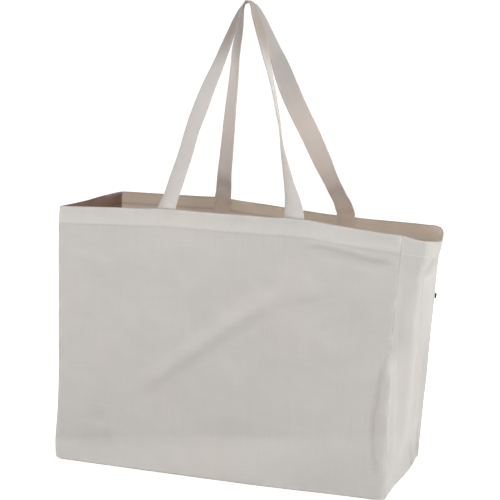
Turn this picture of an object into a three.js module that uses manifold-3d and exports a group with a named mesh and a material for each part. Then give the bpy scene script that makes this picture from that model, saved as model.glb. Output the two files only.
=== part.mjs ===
// Large gusseted cotton carry bag: an open box of unbleached canvas standing on its base,
// with two long strap handles sewn inside the hem and drawn together above the mouth.
//
// Frame: millimetres, +Z up, origin at the centre of the base on the ground.
// +X runs along the wide front panel, the front panel faces -Y, the rear panel faces +Y.
//
// The bag can fold flat, so each side gusset is two separate leaves that meet at a middle
// crease, and each strap leg has a short root between its sewn end and the free loop.

import * as THREE from "three";
import { mergeVertices } from "three/addons/utils/BufferGeometryUtils.js";
import Module from "manifold-3d";

// ---------------------------------------------------------------- driving dimensions
const WIDTH = 500; // along the front panel
const DEPTH = 200; // front panel to rear panel
const HEIGHT = 370; // ground to rim
const CLOTH = 1; // canvas thickness
const GAP = 0.3; // clearance between sheets that lie on each other
const FLOOR_GAP = 0.4; // panels and gussets stand this far above the base sheet
const OVERLAP_INSET = 0.2; // joined boxes stop this far inside the face they overlap

const HEM = 25; // depth of the turned-in hem
const FOLD_Y = 95; // fold line between panel and gusset, either side of the middle
const FOLD_END = 0.3; // cloth stops this far short of a fold line

const THREAD = 0.35; // thickness of the stitching
const THREAD_GAP = 0.05; // clearance between stitching and cloth
const STITCH_ROW = 0.8; // width of one row of stitching

const STRAP = 28; // strap width
const STRAP_T = 2; // strap thickness: folded and sewn double

const HALF_WIDTH = WIDTH / 2;
const WALL_FOOT = CLOTH + FLOOR_GAP; // lower edge of panels and gussets
const HEM_FOOT = HEIGHT - HEM;

// Faces of the layers at a wide panel, as distances from the middle of the bag
const PANEL_OUT = DEPTH / 2;
const PANEL_IN = PANEL_OUT - CLOTH;
const HEM_OUT = PANEL_IN - GAP;
const HEM_IN = HEM_OUT - CLOTH;
const TAIL_OUT = HEM_IN - GAP; // sewn strap end
const TAIL_IN = TAIL_OUT - STRAP_T;

// Names and the sign of the axis each one lies on
const SIDES = [["front", -1], ["rear", 1]]; // along Y
const ENDS = [["left", -1], ["right", 1]]; // along X
const GUSSET_HALVES = [
  { hand: "right", end: 1, name: "rear", side: 1 },
  { hand: "right", end: 1, name: "front", side: -1 },
  { hand: "left", end: -1, name: "rear", side: 1 },
  { hand: "left", end: -1, name: "front", side: -1 },
];

// ---------------------------------------------------------------- materials
function cloth({ color, roughness }) {
  return new THREE.MeshStandardMaterial({ color, roughness, metalness: 0 });
}

const canvas = cloth({ color: 0xcfc8bd, roughness: 0.92 });
const webbing = cloth({ color: 0xd2cabf, roughness: 0.9 });
const thread = cloth({ color: 0xd9d2c6, roughness: 0.8 });
const overlock = cloth({ color: 0xd6cdbf, roughness: 0.95 });
const tagCloth = cloth({ color: 0x3a3a3e, roughness: 0.85 });

// ---------------------------------------------------------------- helpers
const wasm = await Module();
wasm.setup();

const bag = new THREE.Group();

function add(name, geometry, material) {
  const mesh = new THREE.Mesh(geometry, material);
  mesh.name = name;
  bag.add(mesh);
  return mesh;
}

// A box from its extents; the two limits of an extent may come in either order.
function box([x0, x1], [y0, y1], [z0, z1]) {
  const geometry = new THREE.BoxGeometry(Math.abs(x1 - x0), Math.abs(y1 - y0), Math.abs(z1 - z0));
  return geometry.translate((x0 + x1) / 2, (y0 + y1) / 2, (z0 + z1) / 2);
}

function extrude(shape, depth) {
  return new THREE.ExtrudeGeometry(shape, { depth, bevelEnabled: false });
}

// Welds by position alone, so that the surface is closed.
function solid(geometry) {
  geometry.deleteAttribute("normal");
  geometry.deleteAttribute("uv");
  const welded = mergeVertices(geometry, 1e-4);
  return new wasm.Manifold(
    new wasm.Mesh({
      numProp: 3,
      vertProperties: welded.getAttribute("position").array,
      triVerts: new Uint32Array(welded.index.array),
    }),
  );
}

// Several overlapping pieces as one solid.
function joined(...pieces) {
  const mesh = pieces
    .map(solid)
    .reduce((whole, piece) => whole.add(piece))
    .getMesh();
  const geometry = new THREE.BufferGeometry();
  geometry.setAttribute("position", new THREE.Float32BufferAttribute(mesh.vertProperties, 3));
  geometry.setIndex(new THREE.Uint32BufferAttribute(mesh.triVerts, 1));
  geometry.computeVertexNormals();
  return geometry;
}

// ---------------------------------------------------------------- base
function addBase() {
  const sheet = box([-HALF_WIDTH, HALF_WIDTH], [-PANEL_OUT, PANEL_OUT], [0, CLOTH]);
  add("base_panel", sheet, canvas);
}

// ---------------------------------------------------------------- front and rear panels
const PANEL_HEM_END = 3; // the hem stops this far short of the bag's corners

// The sheet is turned over at the rim into a hem leg inside, and turned round each corner
// as far as the gusset's fold line.
function widePanel(side) {
  const hemX = [-HALF_WIDTH + PANEL_HEM_END, HALF_WIDTH - PANEL_HEM_END];
  const tuckedY = side * (PANEL_OUT - OVERLAP_INSET);

  const sheet = box(
    [-HALF_WIDTH, HALF_WIDTH],
    [side * PANEL_IN, side * PANEL_OUT],
    [WALL_FOOT, HEIGHT],
  );
  const hemTop = box(hemX, [side * HEM_IN, tuckedY], [HEIGHT - CLOTH, HEIGHT]);
  const hemLeg = box(
    hemX,
    [side * HEM_IN, side * HEM_OUT],
    [HEM_FOOT, HEIGHT - OVERLAP_INSET],
  );
  const turns = [-1, 1].map((end) =>
    box(
      [end * HALF_WIDTH, end * (HALF_WIDTH - CLOTH)],
      [side * (FOLD_Y + FOLD_END), tuckedY],
      [WALL_FOOT, HEIGHT],
    ),
  );
  return joined(sheet, hemTop, hemLeg, ...turns);
}

function addWidePanels() {
  for (const [name, side] of SIDES) add(`${name}_panel`, widePanel(side), canvas);
}

// ---------------------------------------------------------------- side gussets
const GUSSET_BOW = 6; // the middle crease stands this far out beyond the fold lines
const LEAF = Math.hypot(GUSSET_BOW, FOLD_Y); // fold line to crease
const LEAF_START = FOLD_END + 0.1; // the leaf's edge beside the fold line
const LEAF_END = LEAF - FOLD_END; // the leaf's edge beside the crease
const LEAF_HEM_END = 2; // hem ends: from the fold line, and from the leaf's crease edge
const LEAF_HEM_OUT = CLOTH + GAP; // faces of the hem leg, inwards from the outer face
const LEAF_HEM_IN = LEAF_HEM_OUT + CLOTH;

// An upright slab lying along one gusset leaf. `along` runs from the fold line to the
// crease, `inward` from the leaf's outer face into the bag.
function leafSlab({ end, side }, { along: [a0, a1], inward: [i0, i1], z: [z0, z1] }) {
  const start = new THREE.Vector2(end * HALF_WIDTH, side * FOLD_Y);
  const crease = new THREE.Vector2(end * (HALF_WIDTH + GUSSET_BOW), 0);
  const alongAxis = crease.sub(start).normalize();
  const inwardAxis = new THREE.Vector2(-alongAxis.y, alongAxis.x);
  if (inwardAxis.x * end > 0) inwardAxis.negate();

  const point = (along, inward) =>
    start.clone().addScaledVector(alongAxis, along).addScaledVector(inwardAxis, inward);
  const outline = [point(a0, i0), point(a1, i0), point(a1, i1), point(a0, i1)];
  return extrude(new THREE.Shape(outline), z1 - z0).translate(0, 0, z0);
}

function gussetLeaf(half) {
  const hemAlong = [LEAF_HEM_END, LEAF_END - LEAF_HEM_END];
  const sheet = leafSlab(half, {
    along: [LEAF_START, LEAF_END],
    inward: [0, CLOTH],
    z: [WALL_FOOT, HEIGHT],
  });
  const hemTop = leafSlab(half, {
    along: hemAlong,
    inward: [OVERLAP_INSET, LEAF_HEM_IN],
    z: [HEIGHT - CLOTH, HEIGHT],
  });
  const hemLeg = leafSlab(half, {
    along: hemAlong,
    inward: [LEAF_HEM_OUT, LEAF_HEM_IN],
    z: [HEM_FOOT, HEIGHT - OVERLAP_INSET],
  });
  return joined(sheet, hemTop, hemLeg);
}

function addGussets() {
  for (const half of GUSSET_HALVES)
    add(`${half.hand}_gusset_${half.name}_half`, gussetLeaf(half), canvas);
}

// ---------------------------------------------------------------- bound seam edges
const SEAM = 10; // width of a bound edge
const SEAM_T = 1.2; // its thickness
const SEAM_OUT = PANEL_IN - GAP; // its face towards the panel
const SEAM_X = HALF_WIDTH - 1.4; // outermost reach of the bound edges
const BOTTOM_SEAM_LIFT = 0.3; // above the foot of the panel
const SIDE_SEAM_LIFT = 2; // side edges start this far above one seam width
const SIDE_SEAM_DROP = 1; // and stop this far below the hem

// The overlocked edges lie on the inner face of each wide panel: one up each side and
// one along the bottom.
function addSeamEdges() {
  for (const [name, side] of SIDES) {
    const seamY = [side * SEAM_OUT, side * (SEAM_OUT - SEAM_T)];
    for (const [hand, end] of ENDS) {
      const upright = box(
        [end * SEAM_X, end * (SEAM_X - SEAM)],
        seamY,
        [WALL_FOOT + SEAM + SIDE_SEAM_LIFT, HEM_FOOT - SIDE_SEAM_DROP],
      );
      add(`${name}_${hand}_seam_edge`, upright, overlock);
    }
    const foot = WALL_FOOT + BOTTOM_SEAM_LIFT;
    const bottom = box([-SEAM_X, SEAM_X], seamY, [foot, foot + SEAM]);
    add(`${name}_bottom_seam_edge`, bottom, overlock);
  }
}

// ---------------------------------------------------------------- hem stitching
const HEM_ROW_FOOT = HEM_FOOT + 2;
const HEM_ROW_Z = [HEM_ROW_FOOT, HEM_ROW_FOOT + STITCH_ROW];
const HEM_ROW_END = 1; // a row starts this far from a corner or fold line
const HEM_ROW_CREASE_END = 2; // and stops this far short of the crease

// One row runs round the outside of the bag near the bottom of the hem.
function addHemStitching() {
  for (const [name, side] of SIDES) {
    const row = box(
      [-HALF_WIDTH + HEM_ROW_END, HALF_WIDTH - HEM_ROW_END],
      [side * (PANEL_OUT + THREAD_GAP), side * (PANEL_OUT + THREAD_GAP + THREAD)],
      HEM_ROW_Z,
    );
    add(`${name}_hem_stitching`, row, thread);
  }
  for (const half of GUSSET_HALVES) {
    const row = leafSlab(half, {
      along: [HEM_ROW_END, LEAF - HEM_ROW_CREASE_END],
      inward: [-THREAD_GAP - THREAD, -THREAD_GAP],
      z: HEM_ROW_Z,
    });
    add(`${half.hand}_gusset_${half.name}_hem_stitching`, row, thread);
  }
}

// ---------------------------------------------------------------- handles
// Heights from here to LOOP_TOP are measured up the strap plane from its pivot at the rim.
const ROOT_FROM = 0.7; // the flexing root of a leg
const ROOT_TO = 24;
const LOOP_FROM = 24.8; // the free loop
const LEG_RUN = 290; // where the centre lines of the legs reach the apex
const SHOULDER = 262; // where the outer edges turn in to the rounded top
const APEX_H = 303;

// Rounded top of a loop, right to left: [x from the apex, height from the apex]
const LOOP_TOP = [
  [11, -10],
  [5, -2],
  [0, 0],
  [-5, -2],
  [-11, -9],
];

const STRAP_PITCH = 190; // between the two strap centres of a handle
// leftX: centre of the left strap at the rim; apexX: where the legs meet
const HANDLES = {
  front: { leftX: -91.5, apexX: -21 },
  rear: { leftX: -85.5, apexX: -31 },
};

const LEAN = THREE.MathUtils.degToRad(16); // handles lean in over the mouth
const PIVOT_LIFT = 0.3; // the strap plane starts this far above the rim
const TAIL_LIFT = 0.5; // a sewn end stops this far above the bottom of the hem

const BOX_STITCH = 21; // side of the box stitch
const BOX_STITCH_Z = HEIGHT - 10.8; // its centre

// A square of stitching with a diagonal cross in it, as one flat piece of thread.
function boxStitch() {
  const half = BOX_STITCH / 2;
  const inner = half - STITCH_ROW;
  const diagonal = STITCH_ROW * Math.SQRT1_2; // half a diagonal row, measured along an axis
  const shape = new THREE.Shape([
    new THREE.Vector2(-half, -half),
    new THREE.Vector2(half, -half),
    new THREE.Vector2(half, half),
    new THREE.Vector2(-half, half),
  ]);
  const centre = new THREE.Vector2(0, 0);
  for (let quarter = 0; quarter < 4; quarter++) {
    const turned = (x, y) =>
      new THREE.Vector2(x, y).rotateAround(centre, (quarter * Math.PI) / 2);
    shape.holes.push(
      new THREE.Path([
        turned(-inner + diagonal, inner),
        turned(inner - diagonal, inner),
        turned(0, diagonal),
      ]),
    );
  }
  return extrude(shape, THREAD);
}

// backY is the face of the stitching towards +Y.
function addBoxStitch(name, x, backY) {
  const mesh = add(name, boxStitch(), thread);
  mesh.rotation.x = Math.PI / 2; // local z points to -Y
  mesh.position.set(x, backY, BOX_STITCH_Z);
}

// Takes a shape drawn flat, x across and y up the strap, and leans it in over the mouth.
function inStrapPlane(shape, side) {
  return extrude(shape, STRAP_T)
    .translate(0, 0, -STRAP_T / 2)
    .rotateX(Math.PI / 2) // local y becomes z, local z becomes -y
    .rotateX(side * LEAN)
    .translate(0, (side * (TAIL_OUT + TAIL_IN)) / 2, HEIGHT + PIVOT_LIFT);
}

// One sloping strap leg: edge(y, -1) is on its left edge, edge(y, 1) on its right.
function strapLeg(footX, apexX) {
  const slope = (apexX - footX) / LEG_RUN;
  const half = (STRAP / 2) * Math.sqrt(1 + slope * slope); // half width measured along x
  const edge = (y, hand) => new THREE.Vector2(footX + slope * y + hand * half, y);
  return { slope, half, edge };
}

function rootShape({ edge }) {
  return new THREE.Shape([
    edge(ROOT_FROM, -1),
    edge(ROOT_FROM, 1),
    edge(ROOT_TO, 1),
    edge(ROOT_TO, -1),
  ]);
}

function loopShape({ leftX, apexX }) {
  const left = strapLeg(leftX, apexX);
  const right = strapLeg(leftX + STRAP_PITCH, apexX);
  // where the inner edges of the legs meet
  const crotch = (STRAP_PITCH - left.half - right.half) / (left.slope - right.slope);
  return new THREE.Shape([
    left.edge(LOOP_FROM, 1),
    left.edge(crotch, 1),
    right.edge(LOOP_FROM, -1),
    right.edge(LOOP_FROM, 1),
    right.edge(SHOULDER, 1),
    ...LOOP_TOP.map(([x, y]) => new THREE.Vector2(apexX + x, APEX_H + y)),
    left.edge(SHOULDER, -1),
    left.edge(LOOP_FROM, -1),
  ]);
}

// One end of a handle: the sewn end inside the hem, the root above it and the box
// stitching, outside on the panel and inside on the sewn end.
function addStrapEnd(name, side, x, apexX) {
  const sewnEnd = box(
    [x - STRAP / 2, x + STRAP / 2],
    [side * TAIL_IN, side * TAIL_OUT],
    [HEM_FOOT + TAIL_LIFT, HEIGHT],
  );
  add(`${name}_sewn_end`, sewnEnd, webbing);
  add(`${name}_root`, inStrapPlane(rootShape(strapLeg(x, apexX)), side), webbing);

  const nearFace = THREAD_GAP;
  const farFace = THREAD_GAP + THREAD;
  const outsideY = side * (PANEL_OUT + (side < 0 ? nearFace : farFace));
  const insideY = side * (TAIL_IN - (side < 0 ? farFace : nearFace));
  addBoxStitch(`${name}_box_stitch_outside`, x, outsideY);
  addBoxStitch(`${name}_box_stitch_inside`, x, insideY);
}

function addHandles() {
  for (const [name, side] of SIDES) {
    const handle = HANDLES[name];
    const { leftX, apexX } = handle;
    addStrapEnd(`${name}_handle_left`, side, leftX, apexX);
    addStrapEnd(`${name}_handle_right`, side, leftX + STRAP_PITCH, apexX);
    add(`${name}_handle_loop`, inStrapPlane(loopShape(handle), side), webbing);
  }
}

// ---------------------------------------------------------------- seam tag
// A small blank tag outside the bag, by the rear right seam.
function addSeamTag() {
  const tagX = [HALF_WIDTH + 0.1, HALF_WIDTH + 3];
  const tagY = [FOLD_Y + 1.2, FOLD_Y + 2.2];
  const tagZ = [256, 263];
  add("side_seam_tag", box(tagX, tagY, tagZ), tagCloth);
}

// ---------------------------------------------------------------- assembly
addBase();
addWidePanels();
addGussets();
addSeamEdges();
addHemStitching();
addHandles();
addSeamTag();

export default bag;
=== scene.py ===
"""An unbleached cotton tote bag that stands open on the ground, with two long flat handles.

Z is up and the ground is at z = 0. The wide front panel faces -Y and the rear panel +Y. The
gussets, creased down their middles, face -X (left) and +X (right). The base's rear right corner
curls up. Shapes are worked out in millimetres and become metres where meshes are made.
"""
import math
from collections import namedtuple

import bmesh
import bpy
import numpy as np
from mathutils import Matrix, Vector


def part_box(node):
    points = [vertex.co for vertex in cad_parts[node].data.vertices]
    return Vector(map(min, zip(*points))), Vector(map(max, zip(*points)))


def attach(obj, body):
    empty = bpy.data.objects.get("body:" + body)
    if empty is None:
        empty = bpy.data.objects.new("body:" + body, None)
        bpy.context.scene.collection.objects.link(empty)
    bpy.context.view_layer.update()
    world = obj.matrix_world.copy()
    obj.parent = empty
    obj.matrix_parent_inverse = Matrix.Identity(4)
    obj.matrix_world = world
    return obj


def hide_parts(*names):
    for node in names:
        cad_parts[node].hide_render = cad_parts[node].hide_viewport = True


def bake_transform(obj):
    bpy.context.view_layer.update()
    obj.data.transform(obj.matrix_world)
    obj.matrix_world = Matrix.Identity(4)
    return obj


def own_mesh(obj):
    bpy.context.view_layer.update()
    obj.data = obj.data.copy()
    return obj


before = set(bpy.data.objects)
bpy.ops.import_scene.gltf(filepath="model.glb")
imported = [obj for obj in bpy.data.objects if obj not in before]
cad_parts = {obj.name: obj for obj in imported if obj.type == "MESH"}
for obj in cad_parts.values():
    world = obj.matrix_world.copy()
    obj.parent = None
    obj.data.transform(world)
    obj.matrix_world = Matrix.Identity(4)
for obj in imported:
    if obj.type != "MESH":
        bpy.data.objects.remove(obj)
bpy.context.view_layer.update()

# ------------------------------------------------------------------ sizes, in millimetres
MM = 0.001
HALF_WIDTH, HALF_DEPTH, HEIGHT = (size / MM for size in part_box("rear_panel")[1])
WIDTH, DEPTH = 2 * HALF_WIDTH, 2 * HALF_DEPTH
FRONT_SEAM_Y = -100.0
HEM = 25.0                            # height of the turned-in hem
HEM_STITCH_DROP = 23.2                # hem stitching, below the rim
CLOTH_T, HEM_T = 1.1, 2.5             # thickness of one layer, and of the hem
CORNER_R = 2.6                        # rounding of the upright seams
FOOT_R = 3.4                          # rounding of the bottom edges
LIFT = 25.0                           # how far the rear right corner curls up
CREASE_X = 256.6                      # the gussets' middle crease
CREASE_HALF = 7.0                     # half of the right gusset's part that bends at its crease
GUSSET_X, CREASE_ROOM = 249.0, 15.5   # a folded gusset's plane, and how far both halves stand out
STRAP_W, STRAP_T = 28.0, 1.9
STRAP_GAP = 0.25                      # between a sewn strap end and the cloth
STRAP_LEAN = math.radians(16)         # the handles lean towards each other
STRAP_Y, STRAP_RIM_Z = 96.4, HEIGHT + 0.3
STRAP_CUT = 12.0                      # a handle's loop and its roots part this far up
FRONT_HANDLE_X, REAR_HANDLE_X = (-91.5, 98.5), (-84.0, 107.8)


# ------------------------------------------------------------------ curves and noise
def spline(points):
    """Curve through (position, value, ...) rows: Catmull-Rom on uneven knots, held at its ends."""
    knots = np.array([row[0] for row in points], float)
    values = np.array([row[1:] for row in points], float)
    gaps = np.diff(knots)[:, None]
    chords = np.diff(values, axis=0) / gaps
    slopes = np.zeros_like(values)
    slopes[1:-1] = ((chords[:-1] * gaps[1:] + chords[1:] * gaps[:-1])
                    / (knots[2:] - knots[:-2])[:, None])
    slopes[0], slopes[-1] = chords[0], chords[-1]

    def curve(at):
        at = np.clip(np.asarray(at, float), knots[0], knots[-1])
        i = np.clip(np.searchsorted(knots, at, side="right") - 1, 0, len(knots) - 2)
        gap = (knots[i + 1] - knots[i])[..., None]
        t = ((at - knots[i]) / (knots[i + 1] - knots[i]))[..., None]
        out = ((2 * t**3 - 3 * t**2 + 1) * values[i] + (t**3 - 2 * t**2 + t) * gap * slopes[i]
               + (-2 * t**3 + 3 * t**2) * values[i + 1] + (t**3 - t**2) * gap * slopes[i + 1])
        return out[..., 0] if values.shape[1] == 1 else out
    return curve


def ease(low, high, at):
    """0 before low, 1 past high, smooth between."""
    t = np.clip((at - low) / (high - low), 0, 1)
    return t * t * (3 - 2 * t)


def fade(distance, reach):
    return 1 - np.exp(-np.maximum(distance, 0) / reach)


def bell(at, middle, width):
    return np.exp(-((at - middle) / width) ** 2)


def unit(vectors):
    return vectors / np.linalg.norm(vectors, axis=-1, keepdims=True)


_random = np.random.RandomState(4711)
SHUFFLE = _random.permutation(512)
ANGLES = _random.rand(512) * 2 * np.pi


def noise2(x, y):
    """Gradient noise, about -0.7 to 0.7."""
    xi, yi = np.floor(x).astype(int), np.floor(y).astype(int)
    xf, yf = x - xi, y - yi

    def slope(ix, iy, dx, dy):
        angle = ANGLES[SHUFFLE[(SHUFFLE[ix & 511] + iy) & 511]]
        return np.cos(angle) * dx + np.sin(angle) * dy
    tx, ty = xf**3 * (xf * (xf * 6 - 15) + 10), yf**3 * (yf * (yf * 6 - 15) + 10)
    low = slope(xi, yi, xf, yf) * (1 - tx) + slope(xi + 1, yi, xf - 1, yf) * tx
    high = slope(xi, yi + 1, xf, yf - 1) * (1 - tx) + slope(xi + 1, yi + 1, xf - 1, yf - 1) * tx
    return low * (1 - ty) + high * ty


# ------------------------------------------------------------------ the bag's edges
# upright seams as (z, x) or (z, y); the cloth hangs and leans a little
front_left_x = spline([
    (0, -244.0), (14, -245.8), (72, -245.2), (107, -245.2), (141, -246.6), (176, -248.2),
    (210, -249.7), (245, -251.2), (279, -252.8), (313, -254.2), (347, -254.8), (372, -254.0)])
front_right_x = spline([
    (0, 249.8), (60, 248.6), (103, 247.4), (147, 247.6), (203, 246.6), (254, 248.2),
    (291, 250.6), (326, 252.2), (372, 253.6)])
rear_right_x = spline([
    (0, 236.8), (30, 237.6), (110, 240.8), (209, 245.4), (260, 247.8), (315, 250.2),
    (333, 251.8), (342, 254.2), (349, 255.6)])
rear_right_y = spline([
    (0, 97.0), (30, 97.1), (110, 97.6), (209, 98.4), (260, 98.8), (333, 99.6), (351.5, 100.6)])
rear_left_x = spline([(0, -246.5), (110, -247.0), (209, -248.4), (333, -249.0), (372, -249.0)])
rear_left_y = spline([(0, 98.5), (110, 99.0), (209, 99.4), (333, 99.6), (372, 99.6)])
# rims as (x, z) on the panels and (y, z) on the gussets
front_rim_z = spline([
    (-255, 360.6), (-221, 362.4), (-175, 364.7), (-130, 366.6), (-91, 369.0), (-38, 368.4),
    (21, 368.9), (70, 369.3), (98, 370.2), (125, 368.9), (151, 366.4), (194, 362.8),
    (229, 360.4), (255, 359.2)])
rear_rim_z = spline([
    (-250, 371.6), (-184, 372.6), (-121, 373.6), (-86, 374.4), (-60, 372.2), (-26, 369.9),
    (18, 366.8), (60, 363.6), (85, 362.0), (105, 361.6), (125, 360.4), (189, 359.2),
    (228, 358.4), (246, 357.2), (252.5, 354.6), (254.8, 351.6), (257, 350.0)])
right_rim_z = spline([
    (-100, 359.2), (-85, 356.8), (-52, 351.6), (-11, 345.6), (38, 340.8), (70, 338.6),
    (86, 338.4), (94, 342.0), (98.8, 350.8), (101, 352.4)])
left_rim_z = spline([(-100, 360.6), (-50, 361.8), (0, 364.0), (50, 368.0), (99, 371.6)])


def front_y(z):
    return -HALF_DEPTH + 0 * z


# an upright seam: its x and y by height, and the heights of its foot and top
Corner = namedtuple("Corner", "x y foot top")
FRONT_LEFT = Corner(front_left_x, front_y, 0.0, 360.6)
FRONT_RIGHT = Corner(front_right_x, front_y, 0.0, 359.2)
REAR_LEFT = Corner(rear_left_x, rear_left_y, 0.0, 371.6)
REAR_RIGHT = Corner(rear_right_x, rear_right_y, LIFT, 351.5)


def lift(x, y):
    """Height of the base's edge above the ground."""
    back = np.clip((y - FRONT_SEAM_Y) / 194.5, 0, 1)
    return LIFT * ease(20, 236, x) ** 1.8 * back ** 1.05


def base_line(x):
    """Height on the front panel below which the cloth flares out over the base's edge."""
    return 44.0 + 0.12 * (x + 75)


# ------------------------------------------------------------------ the cloth's relief
def fold(along, z, points, width, depth, skew=0.0, taper=0.25):
    """A soft fold along a line of points: Gaussian across, fading at its ends.
    skew makes one side of it steeper."""
    points = np.array(points, float)
    steps = np.diff(points, axis=0)
    lengths = np.hypot(steps[:, 0], steps[:, 1])
    starts = np.concatenate([[0], np.cumsum(lengths)])
    nearest, run, sign = np.full(along.shape, 1e9), np.zeros(along.shape), np.ones(along.shape)
    for i, length in enumerate(lengths):
        ux, uz = steps[i] / length
        px, pz = along - points[i, 0], z - points[i, 1]
        t = np.clip(px * ux + pz * uz, 0, length)
        dx, dz = px - t * ux, pz - t * uz
        gap = np.hypot(dx, dz)
        closer = gap < nearest
        nearest = np.where(closer, gap, nearest)
        run = np.where(closer, starts[i] + t, run)
        sign = np.where(closer, np.sign(ux * dz - uz * dx + 1e-9), sign)
    t = run / starts[-1]
    ends = ease(0, taper, t) * (1 - ease(1 - taper, 1, t))
    return depth * np.exp(-(nearest / (width * (1 + skew * sign))) ** 2) * ends


def folds(along, z, table):
    return sum(fold(along, z, *entry) for entry in table)


# Folds: points as (x or y, z), width, depth (outwards is positive), then skew and taper if set.
FRONT_FOLDS = [
    # long soft diagonal valley across the middle, with a branch up to the right
    ([(118, 274), (84, 262), (33, 231), (-25, 188), (-84, 141), (-136, 103), (-164, 82)],
     12, -4.2, 0.0, 0.3),
    ([(110, 292), (74, 280), (22, 248), (-37, 205), (-96, 157), (-148, 119), (-172, 98)],
     20, 0.7, 0.0, 0.3),
    ([(66, 250), (114, 266), (150, 277)], 13, -1.2, 0.3),
    # creases under the hem at the right
    ([(112, 338), (142, 337), (167, 334), (203, 327), (250, 323)], 4.0, -1.6, 0.4, 0.15),
    ([(120, 327), (170, 322), (208, 317), (248, 313)], 8, 1.2, 0.0, 0.2),
    # lens-shaped fold beside the right seam
    ([(239, 200), (235.5, 172), (231, 140), (227.5, 112), (228, 86), (233, 55), (241, 30)],
     2.8, -3.7, -0.5, 0.14),
    ([(246, 200), (241, 150), (239.5, 110), (241, 70), (246, 36)], 5.0, 2.6, 0.0, 0.12),
    # above the base's edge, and a dimple at the lower left
    ([(-236, 24), (-202, 30), (-75, 44), (47, 58), (90, 66)], 6, -0.9, 0.3, 0.2),
    ([(-214, 44), (-165, 50), (-150, 60)], 13, -3.4, 0.0, 0.3),
    ([(-214, 84), (-172, 66), (-120, 60)], 15, 1.3, 0.0, 0.3),
    # faint upright folds, lower right of the middle
    ([(50, 138), (60, 75), (72, 18)], 7, -1.0, 0.3, 0.3),
    ([(104, 142), (114, 81), (124, 22)], 8, -1.0, 0.3, 0.3),
    ([(82, 150), (90, 80), (98, 20)], 10, 0.8, 0.0, 0.3),
    # beside the left seam, high up and halfway
    ([(-250, 318), (-205, 300), (-150, 296)], 14, 1.1, 0.3, 0.3),
    ([(-247, 120), (-225, 190), (-222, 262)], 12, -1.2, 0.2, 0.3)]
REAR_FOLDS = [
    ([(-180, 300), (-110, 240), (-30, 196), (60, 170), (140, 158)], 18, -2.6, 0.3),
    ([(-170, 270), (-90, 210), (0, 165), (90, 138)], 20, 1.9),
    ([(228, 300), (200, 220), (188, 130), (196, 60)], 11, -2.2, 0.3),
    ([(214, 290), (180, 210), (170, 130)], 14, 1.6),
    ([(-236, 60), (-190, 90), (-120, 96)], 13, -1.6),
    ([(20, 40), (110, 62), (200, 70)], 10, -1.5, 0.3)]
# tension lines that fan down from a strap end, with x from the fan's middle
FRONT_FAN = [
    ([(-4, 344), (-14, 300), (-34, 252)], 9, 0.9, 0.2, 0.35),
    ([(6, 344), (22, 302), (46, 262)], 9, 0.8, -0.2, 0.35),
    ([(0, 342), (3, 296), (4, 258)], 7, -0.8, 0.0, 0.35)]
REAR_FAN = [
    ([(-4, 340), (-20, 300), (-44, 262)], 9, 1.0, 0.2, 0.35),
    ([(6, 340), (18, 300), (34, 262)], 9, 0.9, -0.2, 0.35),
    ([(0, 338), (-2, 292)], 7, -0.9, 0.0, 0.35)]
REAR_FAN_X = (-85.5, 104.5)
RIGHT_FOLDS = [
    ([(-10, 326), (-20, 300), (-30, 260), (-38, 210), (-42, 150), (-44, 90), (-42, 40)],
     15, 5.4, 0.12, 0.16),
    ([(-74, 330), (-78, 250), (-72, 150), (-62, 70)], 12, -2.0, 0.0, 0.2),
    ([(12, 276), (17, 225), (19, 150), (20, 84)], 6.0, -4.4, 0.4, 0.15),
    ([(36, 300), (40, 220), (42, 130), (40, 60)], 11, -2.4, 0.0, 0.2),
    ([(80, 320), (50, 312), (10, 303), (-42, 296)], 6.0, -3.2, 0.4, 0.2),
    ([(64, 300), (20, 290), (-10, 284)], 8, 1.8, 0.0, 0.3),
    ([(-2, 72), (16, 56), (36, 36), (54, 22)], 5.0, -3.4, -0.4, 0.15),
    ([(16, 76), (34, 58), (56, 44)], 8, 1.8, 0.0, 0.25),
    ([(34, 74), (52, 58), (70, 46), (88, 38)], 3.2, -3.0, 0.4, 0.12),
    ([(40, 86), (60, 68), (82, 54)], 5.5, 1.8, 0.0, 0.2),
    ([(74, 240), (76, 160), (72, 80)], 8, -1.8, 0.0, 0.3),
    ([(-88, 60), (-56, 42), (-26, 36)], 8, -2.2, 0.0, 0.3),
    ([(-88, 228), (-84, 180), (-83, 120), (-84, 60), (-86, 24)], 7, 3.0, 0.0, 0.12)]
LEFT_FOLDS = [
    ([(-30, 310), (-44, 240), (-40, 160)], 12, 2.6, 0.2, 0.25),
    ([(40, 300), (52, 220), (46, 120)], 12, 2.3, 0.0, 0.3),
    ([(-72, 290), (-76, 200), (-66, 100)], 10, -1.7, 0.0, 0.3),
    ([(72, 260), (70, 170)], 9, -1.5, 0.0, 0.3),
    ([(-50, 70), (-20, 46), (10, 30)], 8, -1.9, 0.3, 0.25)]

# how a face's relief is set: seed, shift and amount of the undulation, seed of the stitched edges
Relief = namedtuple("Relief", "seed shift amount stitch_seed")


def undulate(along, z, seed):
    """Unevenness from broad swells down to fine ripples, with a few sharper creases."""
    shift = seed * 37.7
    out = 3.2 * noise2(along / 125 + shift, z / 98 + shift)
    out += 1.7 * noise2(along / 56 + z / 150 + shift, z / 64 - along / 220 + 3 + shift)
    out += 0.62 * noise2(along / 26 + z / 70 + shift, z / 31 + 9 + shift)
    out += 0.2 * noise2(along / 12 + shift, z / 13 + shift)
    crease = 0.30 - np.abs(noise2(along / 84 + z / 130 + 5 + shift, z / 74 - along / 190 + shift))
    return out + crease * (0.5 + noise2(along / 150 + shift, z / 150 + 8 + shift))


def held_undulation(along, z, from_start, to_end, to_rim, relief, seam_reach, rim_reach):
    """The undulation, held still at the seams and the base and calmer at the rim."""
    return (undulate(along + relief.shift, z, relief.seed) * relief.amount
            * fade(from_start, seam_reach) * fade(to_end, seam_reach) * fade(z, 10)
            * (0.45 + 0.55 * fade(to_rim, rim_reach)))


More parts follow.
